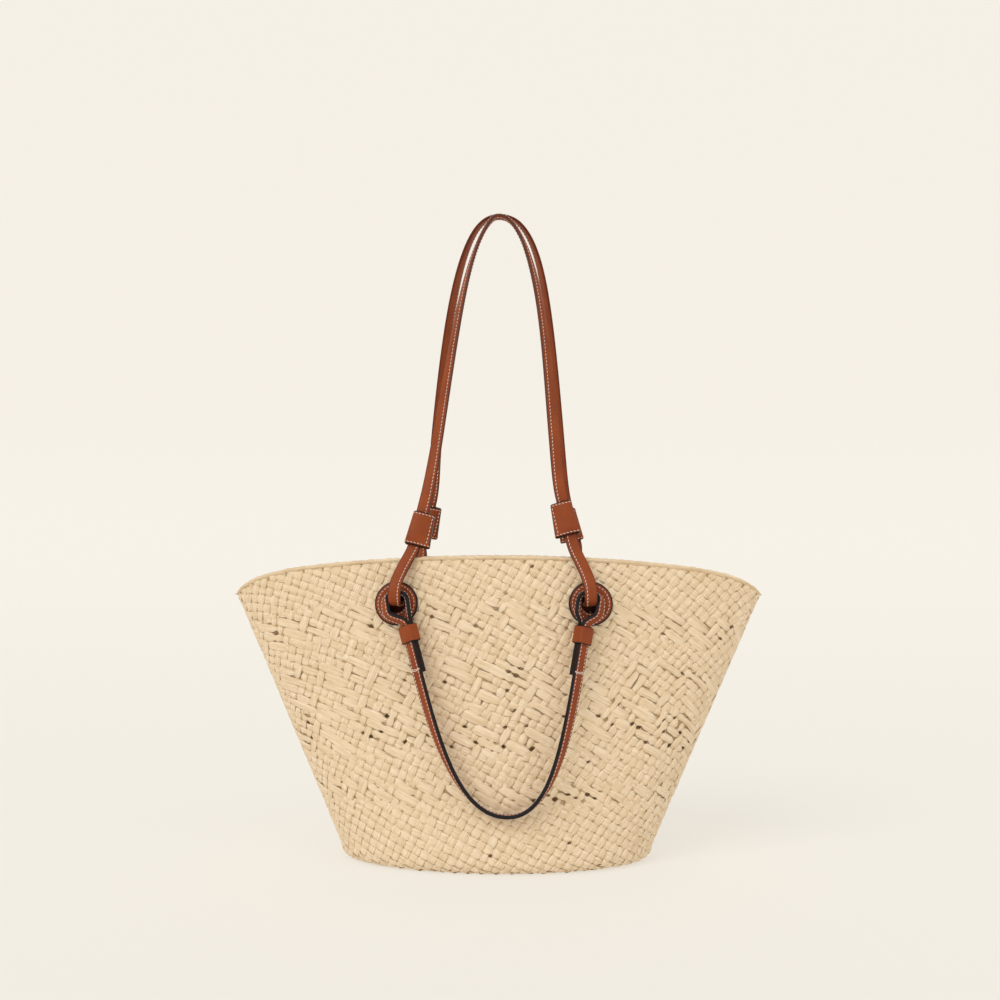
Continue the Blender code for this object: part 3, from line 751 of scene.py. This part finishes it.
def arch_line(side):
    """The arch from flex line to flex line, with its width directions."""
    wider = side.spread * ARCH_SPREAD_SHARE
    corners = [(-limb_x(side, FLEX_Z), FLEX_Z), (-ARCH_SHOULDER[0] - wider, ARCH_SHOULDER[1])]
    corners += [(-ARCH_CROWN - wider, HANDLE_TOP), (0.0, HANDLE_TOP)]
    half = bezier(*[Vector((x, 0.0, z)) for x, z in corners], 60)
    flat = half + [Vector((-p.x, 0.0, p.z)) for p in half[-2::-1]]
    sink = [CROWN_SINK[side.name] * ((p.z - FLEX_Z) / (HANDLE_TOP - FLEX_Z)) ** 3 for p in flat]
    line = [
        side.place(p.x + arch_drift(side, p), limb_out(p.z, 0), p.z - down) for p, down in zip(flat, sink)
    ]
    facing = side.place(0.0, 1.0, HANDLE_LEAN).normalized()
    across = []
    for i in range(len(line)):
        tangent = (line[min(i + 1, len(line) - 1)] - line[max(i - 1, 0)]).normalized()
        turn = math.pi / 2 * (1 - abs(2 * i / (len(line) - 1) - 1)) ** 0.8
        across.append(tangent.cross(facing) * math.cos(turn) + facing * math.sin(turn))
    return line, across


def end_line(side, end):
    """The fixed end, from the flex line down, through the hole, up inside and into the cuff."""
    sign = -1 if end == "left" else 1
    outer = [(limb_x(side, z), limb_out(z, 0), z) for z in (FLEX_Z, 0.338, 0.3205, 0.3045)]
    outer += [(0.0812, 0.0568, 0.294), (0.0868, 0.0638, 0.282), (0.0912, 0.0708, 0.270)]
    for i in range(9):
        turn = math.pi / 2 * i / 8
        out = HOOK_OUT + OUTER_BEND * math.cos(turn)
        outer.append((RING_X, out, RING_Z + OUTER_BEND - OUTER_BEND * math.sin(turn)))
    inner = []
    for i in range(7):
        turn = math.pi / 2 * i / 6
        out = INNER_RING_REACH - INNER_BEND * math.sin(turn)
        inner.append((RING_X, out, RING_Z + INNER_BEND * (1 - math.cos(turn))))
    inner += [(0.0908, 0.0400, 0.271), (0.0862, 0.0424, 0.284), (0.0812, 0.0438, 0.294)]
    inner += [(limb_x(side, z), limb_out(z, 1), z) for z in (0.3055, 0.3205, 0.338, TAIL_Z)]
    return catmull([side.place(sign * x, out, z) for x, out, z in outer + inner], 5)


def hook(side, end):
    return side.place(-RING_X if end == "left" else RING_X, HOOK_OUT, RING_Z + OUTER_BEND)


def hang_axes(side, end, tilt):
    """Down, inward and outward unit directions of a hanging end tilted by tilt."""
    sign = -1 if end == "left" else 1
    level = math.cos(tilt)
    down = side.place(-sign * math.sin(tilt), level * math.sin(LOOP_SLOPE), -level * math.cos(LOOP_SLOPE))
    facing = side.place(0.0, math.cos(LOOP_SLOPE), math.sin(LOOP_SLOPE))
    inward = down.cross(facing).normalized()
    if inward.dot(side.place(-sign, 0.0, 0.0)) < 0:
        inward = -inward
    return down, inward, facing


def double_axes(side, end):
    """Start and directions of the straight doubled part, and of its turned section."""
    loop_down, loop_inward, _ = hang_axes(side, end, LOOP_TILT)
    down, inward, facing = hang_axes(side, end, TILTS[end])
    knee = hook(side, end) + loop_down * LOOP_KNEE + loop_inward * side.knee_shifts[end]
    stack = inward * math.cos(LIMB_TURN) - facing * math.sin(LIMB_TURN)
    width = facing * math.cos(LIMB_TURN) + inward * math.sin(LIMB_TURN)
    return knee, down, stack, width


def loop_half(side, end, inner):
    """One leg of the loop, from the middle of its top to the doubled strap's end."""
    down, inward, facing = hang_axes(side, end, LOOP_TILT)
    way = 1 if inner else -1
    top = hook(side, end)
    points, across = [], []
    for i in range(7):
        turn = math.pi / 2 * i / 6
        p = LOOP_HALF * math.sin(turn) ** (2 / 3)
        s = LOOP_TOP * (1 - math.cos(turn) ** (2 / 3))
        points.append(top + inward * (way * p) + down * s)
        lean = (LEG_TURN if inner else OUTER_LEG_TURN) * i / 6
        across.append(facing * math.cos(lean) + inward * math.sin(lean))
    straight = top + inward * (way * LOOP_HALF) + down * LOOP_STRAIGHT
    points.append(straight)
    across.append(across[-1])
    knee, below, stack, width = double_axes(side, end)
    join = knee + stack * (way * LAYER / 2) + below * (LOOP_JOIN - LOOP_KNEE)
    bent = bezier(straight, straight + down * LOOP_BEND, join - below * LOOP_BEND, join, 5)
    for i in range(1, 6):
        points.append(bent[i])
        across.append(across[6].lerp(width, i / 5).normalized())
    return points, across


def blend_width(a, b, share):
    return a.lerp(b, share * share * (3 - 2 * share)).normalized()


def hand_line(side):
    """The whole hand strap, from one tail over its loop, round the U and back to the other."""
    ways = {}
    for end in ("left", "right"):
        knee, below, stack, width = double_axes(side, end)
        tail_points, tail_across = loop_half(side, end, inner=True)
        main_points, main_across = loop_half(side, end, inner=False)
        for part in (0.25, 0.5, 0.75, 1.0):
            reach = LOOP_JOIN + (HAND_TAIL - LOOP_JOIN) * part - LOOP_KNEE
            tail_points.append(knee + stack * (LAYER / 2) + below * reach)
            reach = LOOP_JOIN + (DOUBLE_END - LOOP_JOIN) * part - LOOP_KNEE
            main_points.append(knee - stack * (LAYER / 2) + below * reach)
            tail_across.append(width)
            main_across.append(width)
        ways[end] = (tail_points[::-1] + main_points[1:], tail_across[::-1] + main_across[1:], below)
    left, left_across, left_down = ways["left"]
    right, right_across, right_down = ways["right"]
    right, right_across = right[::-1], right_across[::-1]
    bottom, axis_x = side.place(*U_BOTTOM), side.place(1.0, 0.0, 0.0)
    pull = U_PULL["left"]
    fall = bezier(left[-1], left[-1] + left_down * pull[0], bottom - axis_x * pull[1], bottom, 14)
    pull = U_PULL["right"]
    climb = bezier(bottom, bottom + axis_x * pull[1], right[0] + right_down * pull[0], right[0], 14)
    facing = side.place(0.0, 1.0, 0.0)
    middle = facing * math.cos(U_BOTTOM_TURN) + Vector((0, 0, 1)) * math.sin(U_BOTTOM_TURN)
    points = left + fall[1:] + climb[1:-1] + right
    across = list(left_across)
    across += [blend_width(left_across[-1], middle, i / 14) for i in range(1, 15)]
    across += [blend_width(middle, right_across[0], i / 14) for i in range(1, 14)]
    return points, across + right_across


def resample(points, across, step):
    """Points and width directions at an even step along a line."""
    p = np.array([tuple(x) for x in points])
    w = np.array([tuple(x) for x in across])
    way = arc_length(p)
    even = np.linspace(0, way[-1], max(2, int(round(way[-1] / step))) + 1)
    q = np.stack([np.interp(even, way, p[:, k]) for k in range(3)], 1)
    v = np.stack([np.interp(even, way, w[:, k]) for k in range(3)], 1)
    for _ in range(2):
        q[1:-1] = 0.25 * q[:-2] + 0.5 * q[1:-1] + 0.25 * q[2:]
        v[1:-1] = 0.25 * v[:-2] + 0.5 * v[1:-1] + 0.25 * v[2:]
    return q, v


def strap_frames(points, across):
    tangent = np.gradient(points, axis=0)
    tangent /= np.linalg.norm(tangent, axis=1)[:, None]
    wide = across - tangent * (across * tangent).sum(1)[:, None]
    wide /= np.linalg.norm(wide, axis=1)[:, None]
    return tangent, wide, np.cross(tangent, wide)


def strap_section(width, thick, radius, crown):
    """Points round a strap's section: four rounded corners and two crowned faces."""
    half_w, half_t = width / 2 - radius, thick / 2
    points = []
    for corner, (cw, ct) in enumerate(((1, 1), (-1, 1), (-1, -1), (1, -1))):
        for i in range(4):
            turn = math.pi / 2 * (corner + i / 3)
            across = cw * half_w + radius * math.cos(turn)
            points.append((across, ct * (half_t - radius) + radius * math.sin(turn)))
        if corner in (0, 2):
            for share in (0.5, 0.0, -0.5):
                points.append((cw * share * half_w, cw * (half_t + crown * (1 - share**2))))
    return np.array(points)


def strap_mesh(name, points, across, materials, painted=True, crown=0.0003, radius=0.0009):
    """A strap with rounded edges; its cut edges take the second material, one or both of them."""
    _, wide, deep = strap_frames(points, across)
    section = strap_section(STRAP_WIDTH, STRAP_THICKNESS - 2 * crown, radius, crown)
    verts = points[:, None] + wide[:, None] * section[:, :1] + deep[:, None] * section[:, 1:]
    n, m = verts.shape[:2]
    index = np.arange(n * m).reshape(n, m)
    faces = quads(index).tolist()
    middle = (section[:, 0] + np.roll(section[:, 0], -1)) / 2
    on_edge = (np.abs(middle) > STRAP_WIDTH / 2 - CUT_EDGE) & (painted | (middle > 0))
    slots = np.tile(on_edge, n - 1).astype(int).tolist() + [1] * (2 * m)
    verts = np.concatenate([verts.reshape(-1, 3), [points[0], points[-1]]])
    for ring, centre in ((index[0], n * m), (index[-1], n * m + 1)):
        faces += [[a, b, centre] for a, b in zip(ring.tolist(), np.roll(ring, -1).tolist())]
    tone = np.tile(np.clip(1 - np.abs(section[:, 0]) / (STRAP_WIDTH / 2), 0, 1), n)
    return closed_mesh(name, verts, faces, materials, slots, np.concatenate([tone, [1, 1]]))


def closed_mesh(name, verts, faces, materials, slots, tone):
    """A closed mesh object with normals turned out and sharp edges kept."""
    mesh = new_mesh(name, verts, faces, materials)
    mesh.polygons.foreach_set("material_index", np.asarray(slots, np.int32))
    made = mesh.attributes.new("tone", "FLOAT", "POINT")
    made.data.foreach_set("value", np.asarray(tone, np.float32))
    shape = bmesh.new()
    shape.from_mesh(mesh)
    bmesh.ops.recalc_face_normals(shape, faces=shape.faces)
    shape.to_mesh(mesh)
    shape.free()
    mesh.shade_smooth()
    mesh.set_sharp_from_angle(angle=SHARP)
    return new_object(name, mesh)


# Stitching
STITCH_PITCH, STITCH_LENGTH, STITCH_RADIUS = 0.0035, 0.0024, 0.00040
STITCH_SLANT, STITCH_SINK, STITCH_FLATNESS, STITCH_LIFT = 0.00022, 0.00028, 0.8, 0.0001
THREAD_SIDES, SHARP, CUT_EDGE = 6, math.radians(50), 0.0008
FLANGE_START, FLANGE_TIP, CUFF_BULGE = 0.004, 0.0009, 0.0011
CUFF_STITCH_SHARE = 1 - 2 * 0.0022 / CUFF_HEIGHT
RING_STITCHES, BLEND_Z = (0.0104, 0.0176), (0.3505, 0.368)


def threads(name, parts):
    """Short closed threads; each is its middles, its section's two directions and its radii."""
    turn = 2 * np.pi * np.arange(THREAD_SIDES) / THREAD_SIDES
    verts, faces, total = [], [], 0
    for middles, first, second, radii in parts:
        ring = middles[:, None] + first * (np.cos(turn) * radii[:, None])[..., None]
        ring = ring + second * (np.sin(turn) * radii[:, None])[..., None]
        verts.append(ring.reshape(-1, 3))
        index = np.arange(len(radii) * THREAD_SIDES).reshape(-1, THREAD_SIDES) + total
        faces += quads(index).tolist() + [index[0].tolist()[::-1], index[-1].tolist()]
        total += index.size
    verts = np.concatenate(verts)
    return closed_mesh(name, verts, faces, [THREAD], [0] * len(faces), np.ones(len(verts)))


def stitches(name, lines):
    """Separate raised stitches along lines; a line is points, outward normals and a closed flag."""
    share = np.linspace(-1, 1, 5)
    radii = np.sqrt(np.clip(1 - share**4 * 0.85, 0, 1)) * STITCH_RADIUS
    parts = []
    for points, normals, closed in lines:
        if closed:
            points = np.concatenate([points, points[:1]])
            normals = np.concatenate([normals, normals[:1]])
        way = arc_length(points)
        count = max(1, int(round(way[-1] / STITCH_PITCH)))
        for k in range(count):
            mid = way[-1] * (k + 0.5) / count
            at = mid + share * STITCH_LENGTH / 2
            centre = np.stack([np.interp(at, way, points[:, c]) for c in range(3)], 1)
            up = unit(np.array([np.interp(mid, way, normals[:, c]) for c in range(3)]))
            side = np.cross(unit(centre[-1] - centre[0]), up)
            slant = side * share[:, None] * STITCH_SLANT
            sink = up * (share**4)[:, None] * STITCH_SINK
            parts.append((centre + slant - sink, side, up * STITCH_FLATNESS, radii))
    return threads(name, parts)


def stitch_line(points, across, offset, face):
    """A stitch line on a strap's face, offset across it. face is 1 or -1."""
    _, wide, deep = strap_frames(points, across)
    out = deep * face
    return points + wide * offset + out * (STRAP_THICKNESS / 2 + STITCH_LIFT), out, False


# Leather pieces
def build_shoulder_straps():
    for side in SIDES:
        left, right = end_line(side, "left"), end_line(side, "right")
        arch, arch_across = arch_line(side)
        wide = side.place(1.0, 0.0, 0.0)
        line = left[::-1] + arch[1:-1] + right
        across = [wide] * len(left) + arch_across[1:-1] + [-wide] * len(right)
        q, w = resample(line, across, 0.0018)
        name = f"{side.name}_shoulder_strap"
        strap = strap_mesh(name, q, w, [TAN, SEAM], painted=False, crown=0.0006, radius=0.00135)
        thread = stitches(f"{name}_thread", [stitch_line(q, w, 0.0032, f) for f in (1, -1)])
        nodes = [f"{side.name}_shoulder_handle"]
        nodes += [side.node(end, "handle_end") for end in ("left", "right")]
        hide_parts(*nodes)
        start, stop = [side.place(0, limb_out(z, 0), z) for z in BLEND_Z]
        for piece in (strap, thread):
            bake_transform(piece)


def build_hand_straps():
    for side in SIDES:
        q, w = resample(*hand_line(side), 0.0015)
        strap = strap_mesh(f"{side.name}_hand_strap_leather", q, w, [TAN, PAINT])
        lines = [stitch_line(q, w, off, f) for off in (0.0038, -0.0038) for f in (1, -1)]
        thread = stitches(f"{side.name}_hand_strap_thread", lines)
        tacks = [bar_tack(side, end) for end in ("left", "right")]
        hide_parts(f"{side.name}_hand_strap")
        for piece in (strap, thread, *tacks):
            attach(piece, f"{side.name}_hand_strap")


def bar_tack(side, end):
    """White thread sewn twice across the outer layer near the tail's end."""
    knee, below, stack, width = [np.array(v) for v in double_axes(side, end)]
    middle = knee + below * (HAND_TAIL - 0.003 - LOOP_KNEE)
    middle = middle - stack * (LAYER / 2 + STRAP_THICKNESS / 2 + STITCH_LIFT)
    s = np.linspace(-1, 1, 13)[:, None]
    parts = []
    for bar in range(2):
        along = 0.0005 * (2 * bar - 1) + 0.0004 * np.sin(3.1 * s + bar)
        line = middle + width * (0.0058 * s) + below * along + stack * (0.0006 * s**6)
        parts.append((line, below, stack, 0.00038 * (1 - 0.3 * s[:, 0] ** 6)))
    return threads(side.node(end, "bar_tack"), parts)


def rounded_box(half_u, half_v, radius, steps):
    points = []
    for quarter in range(4):
        cu = (half_u - radius) * (1 if quarter in (0, 3) else -1)
        cv = (half_v - radius) * (1 if quarter in (0, 1) else -1)
        for step in range(steps + 1):
            turn = math.pi / 2 * (quarter + step / steps)
            points.append((cu + radius * math.cos(turn), cv + radius * math.sin(turn)))
    return points


def sleeve(name, outline, hole, frame_of, height, soft, bulge, taper=0.0):
    """A closed sleeve with softened rims; its cut rims are painted, and a flange's tip too."""
    centre, first, second, along = [np.array(v) for v in frame_of]
    h, reach = height / 2, max(u for u, v in hole)
    stops = ((-h, soft), (-h + soft, 0), (-h / 2, 0), (0, 0), (h / 2, 0), (h - soft, 0), (h, soft))
    rows = []
    for rise, shrink in stops:
        row = puffed(outline, reach, bulge, 1 - taper * rise / h) - np.sign(outline) * shrink
        rows.append(np.column_stack([row, np.full(len(row), rise)]))
    rows += [np.column_stack([hole, np.full(len(hole), rise)]) for rise in (h, -h)]
    flat = np.array(rows)
    n, m = flat.shape[:2]
    verts = centre + flat[..., :1] * first + flat[..., 1:2] * second + flat[..., 2:] * along
    painted = np.isin(np.arange(n), (0, n - 4, n - 3, n - 1))[:, None]
    wide = np.array(outline)[:, 0]
    tip = wide > (max(wide) - FLANGE_TIP if taper else math.inf)
    slots = np.broadcast_to(painted | (tip & np.roll(tip, -1)), (n, m)).ravel()
    tone = 0.12 + np.clip((h - np.abs(flat[..., 2])) / 0.006, 0, 1).ravel()
    faces = quads(np.arange(n * m).reshape(n, m), True)
    return closed_mesh(name, verts.reshape(-1, 3), faces.tolist(), [TAN, PAINT], slots, tone)


def puffed(outline, reach, bulge, wider):
    """The outline widened, with its broad faces bulged over the strap."""
    u, v = np.array(outline).T
    puff = bulge * np.clip(1 - (u / reach) ** 2, 0, None) * np.sign(v) * (np.abs(v) > 0.002)
    return np.stack([u * wider, v + puff], 1)


def outline_stitch(flat, frame_of, rise):
    """A closed stitch line round a sleeve's outside at one height."""
    centre, first, second, along = [np.array(v) for v in frame_of]
    tangent = np.roll(flat, -1, 0) - np.roll(flat, 1, 0)
    out = np.stack([tangent[:, 1], -tangent[:, 0]], 1)
    out /= np.linalg.norm(out, axis=1)[:, None] + 1e-12
    out *= np.sign(((flat - flat.mean(0)) * out).sum(1))[:, None]
    flat = flat + out * STITCH_LIFT
    points = centre + flat[:, :1] * first + flat[:, 1:] * second + along * rise
    return points, out[:, :1] * first + out[:, 1:] * second, True


def cuff_frame(side, end):
    """A cuff's middle and its inward, outward and upward directions."""
    sign, z = (-1 if end == "left" else 1), side.cuff_centres[end]
    centre = side.place(sign * limb_x(side, z), (limb_out(z, 0) + limb_out(z, 1)) / 2, z)
    low, high = [side.place(sign * limb_x(side, s), limb_out(s, 0), s) for s in (z - 0.01, z + 0.01)]
    along = (high - low).normalized()
    inward = side.place(-sign, 0.0, 0.0)
    inward = (inward - along * inward.dot(along)).normalized()
    return centre, inward, inward.cross(along), along


def dense(outline, step=0.0012):
    """The closed outline with points added so that none are further apart than step."""
    points = []
    for i, a in enumerate(outline):
        b = outline[(i + 1) % len(outline)]
        count = max(1, int(math.dist(a, b) / step))
        for k in range(count):
            points.append((a[0] + (b[0] - a[0]) * k / count, a[1] + (b[1] - a[1]) * k / count))
    return points


def cuff_outline(half_u, half_v):
    """The wrapped sleeve, narrowing to the two-layer flange on its inward side."""
    outline = []
    for u, v in dense(rounded_box(half_u, half_v, 0.0024, 4)):
        share = min(1.0, max(0.0, (u - half_u + FLANGE_START) / FLANGE_START))
        outline.append((u + CUFF_FLANGE * share, v * (1 - 0.42 * share)))
    return outline


def sleeve_sizes(clearance, wall):
    """Half sizes of a sleeve's hole and of its outside."""
    half_u = STRAP_WIDTH / 2 + clearance
    half_v = LAYER / 2 + STRAP_THICKNESS / 2 + clearance
    return half_u, half_v, half_u + wall, half_v + wall


def build_cuffs():
    half_u, half_v, *outside = sleeve_sizes(CUFF_CLEARANCE, CUFF_WALL)
    outline = cuff_outline(*outside)
    hole = [(np.clip(u, -half_u, half_u), np.clip(v, -half_v, half_v)) for u, v in outline]
    for side, end in ENDS:
        frame_of = cuff_frame(side, end)
        name = side.node(end, "cuff_leather")
        piece = sleeve(name, outline, hole, frame_of, CUFF_HEIGHT, 0.0010, CUFF_BULGE, CUFF_TAPER)
        lines = []
        for share in (CUFF_STITCH_SHARE, -CUFF_STITCH_SHARE):
            flat = puffed(outline, half_u, CUFF_BULGE, 1 - CUFF_TAPER * share)
            lines.append(outline_stitch(flat, frame_of, share * CUFF_HEIGHT / 2))
        thread = stitches(side.node(end, "cuff_thread"), lines + flange_stitch(outline, frame_of))
        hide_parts(side.node(end, "cuff"))
        for made in (piece, thread):
            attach(made, "basket")


def flange_stitch(outline, frame_of):
    """The line down the flange on both faces."""
    centre, first, second, along = [np.array(v) for v in frame_of]
    u = max(p[0] for p in outline) - 0.0022
    half_v = max(p[1] for p in outline if abs(p[0] - u) < 0.0012) + STITCH_LIFT
    rise = np.linspace(-CUFF_HEIGHT / 2 + 0.0035, CUFF_HEIGHT / 2 - 0.0035, 12)[:, None]
    lines = []
    for way in (1, -1):
        points = centre + first * u + second * (way * half_v) + along * rise
        lines.append((points, np.broadcast_to(second * way, points.shape), False))
    return lines


def build_keepers():
    half_u, half_v, *outside = sleeve_sizes(KEEPER_CLEARANCE, KEEPER_WALL)
    outline = dense(rounded_box(*outside, 0.0026, 5))
    hole = [(np.clip(u, -half_u, half_u), np.clip(v, -half_v, half_v)) for u, v in outline]
    for side, end in ENDS:
        knee, below, stack, width = double_axes(side, end)
        centre = knee + below * (KEEPER_AT - LOOP_KNEE)
        frame_of = (centre, width, stack, below)
        name = side.node(end, "keeper_leather")
        piece = sleeve(name, outline, hole, frame_of, KEEPER_HEIGHT, 0.0007, 0.0003)
        seam = np.array(centre + stack * (outside[1] + STITCH_LIFT) - width * (half_u * 0.6))
        points = seam + np.array(below) * np.linspace(-0.0058, 0.0058, 8)[:, None]
        out = np.broadcast_to(np.array(stack), points.shape)
        thread = stitches(side.node(end, "keeper_thread"), [(points, out, False)])
        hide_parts(side.node(end, "keeper"))
        for made in (piece, thread):
            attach(made, side.node(end, "keeper"))


def ring_mesh(name, foot, normal, slot):
    """A washer with softened, painted rims, and its two stitched circles."""
    foot, normal = np.array(foot), np.array(normal)
    first = unit(np.cross(normal, [0, 0, 1.0]))
    second = np.cross(normal, first)
    r0, r1, t = RING_INNER, RING_OUTER, RING_THICKNESS
    profile = [(r0, 0.0), (r0, t * 0.6), (r0 + 0.0004, t * 0.92), (r0 + 0.0012, t), (0.0145, t * 0.97)]
    profile += [(r1 - 0.0014, t), (r1 - 0.0004, t * 0.9), (r1, t * 0.6), (r1, 0.0)]
    flat = np.array(profile)
    steps, m = 72, len(profile)
    turn = 2 * np.pi * np.arange(steps) / steps
    ray = np.cos(turn)[:, None] * first + np.sin(turn)[:, None] * second
    radii = np.broadcast_to(flat[:, 0], (steps, m)).copy()
    narrow = 1 / np.hypot(np.cos(turn) / r0, np.sin(turn) / slot)
    radii[:, :4] += (narrow - r0)[:, None]
    verts = foot + ray[:, None] * radii[..., None] + normal * flat[None, :, 1:]
    faces = quads(np.arange(steps * m).reshape(steps, m), True)
    slots = np.tile([0 if k in (3, 4, 8) else 1 for k in range(m)], steps)
    tone = np.tile(np.clip(np.minimum(flat[:, 0] - r0, r1 - flat[:, 0]) / 0.004, 0, 1), steps)
    ring = closed_mesh(name, verts.reshape(-1, 3), faces.tolist(), [TAN, PAINT], slots, tone)
    out, top = np.broadcast_to(normal, ray.shape), foot + normal * (t + STITCH_LIFT)
    circles = [(top + ray * radius, out, True) for radius in RING_STITCHES]
    return ring, stitches(f"{name}_thread", circles)


def build_rings():
    for side, end in ENDS:
        centre, normal = ring_frame(side, end)
        outside, inside = centre + normal * GAP, centre - normal * (WALL + 2.2 * GAP)
        for kind, foot, way, slot in (
            ("outer", outside, normal, RING_INNER),
            ("inner", inside, -normal, INNER_SLOT),
        ):
            pieces = ring_mesh(side.node(end, f"{kind}_ring_leather"), foot, way, slot)
            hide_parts(side.node(end, f"{kind}_ring"))
            for piece in pieces:
                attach(piece, "basket")


# Stage
def sun_light(name, source, power, spread):
    """A broad soft light from the direction of source, equal over the floor and the backdrop."""
    data = bpy.data.lights.new(name, "SUN")
    data.energy, data.angle = power, math.radians(spread)
    new_object(name, data).rotation_euler = Vector(source).to_track_quat("Z", "Y").to_euler()


def build_stage():
    half, curve, rise = 30.0, 1.0, 4.0
    steps = 16
    profile = [(-half, 0.0)]
    for i in range(steps + 1):
        turn = math.pi / 2 * i / steps
        profile.append((3.0 + curve * math.sin(turn), curve * (1 - math.cos(turn))))
    profile.append((3.0 + curve, rise))
    verts = [(x, y, z) for y, z in profile for x in (-half, half)]
    faces = [(2 * i, 2 * i + 1, 2 * i + 3, 2 * i + 2) for i in range(len(profile) - 1)]
    material, tree, shader = new_material("pale_floor", (0.30, 0.29, 0.275), 0.9, Specular_IOR_Level=0.1)
    shader.inputs["Emission Color"].default_value = (0.590, 0.563, 0.508, 1)
    shader.inputs["Emission Strength"].default_value = 1.0
    backdrop = add_mesh("backdrop", verts, faces, material)
    world = bpy.data.worlds.new("studio")
    world.use_nodes = True
    background = world.node_tree.nodes["Background"]
    background.inputs["Color"].default_value = (1.0, 0.985, 0.955, 1)
    background.inputs["Strength"].default_value = 0.68
    bpy.context.scene.world = world
    sun_light("key", (-0.50, -0.72, 0.72), 1.10, 40)
    sun_light("fill", (0.66, -0.66, 0.35), 0.38, 70)


def build_camera():
    """A low eye near the rim's height, turned a little to the bag's right."""
    turn = math.radians(2.8)
    distance, eye, aim = 1.2, 0.30, 0.3516
    data = bpy.data.cameras.new("camera")
    data.sensor_width = 36
    data.lens = 36 * distance
    item = new_object("camera", data)
    place = Vector((distance * math.sin(turn), -distance * math.cos(turn), eye))
    item.location = place
    data.shift_x = 0.004
    item.rotation_euler = (Vector((0, 0, aim)) - place).to_track_quat("-Z", "Y").to_euler()
    bpy.context.scene.camera = item
    bpy.context.scene.view_settings.view_transform = "Standard"


build_camera()
build_stage()
build_wall()
build_base()
build_rim()
build_rings()
build_shoulder_straps()
build_cuffs()
build_hand_straps()
build_keepers()
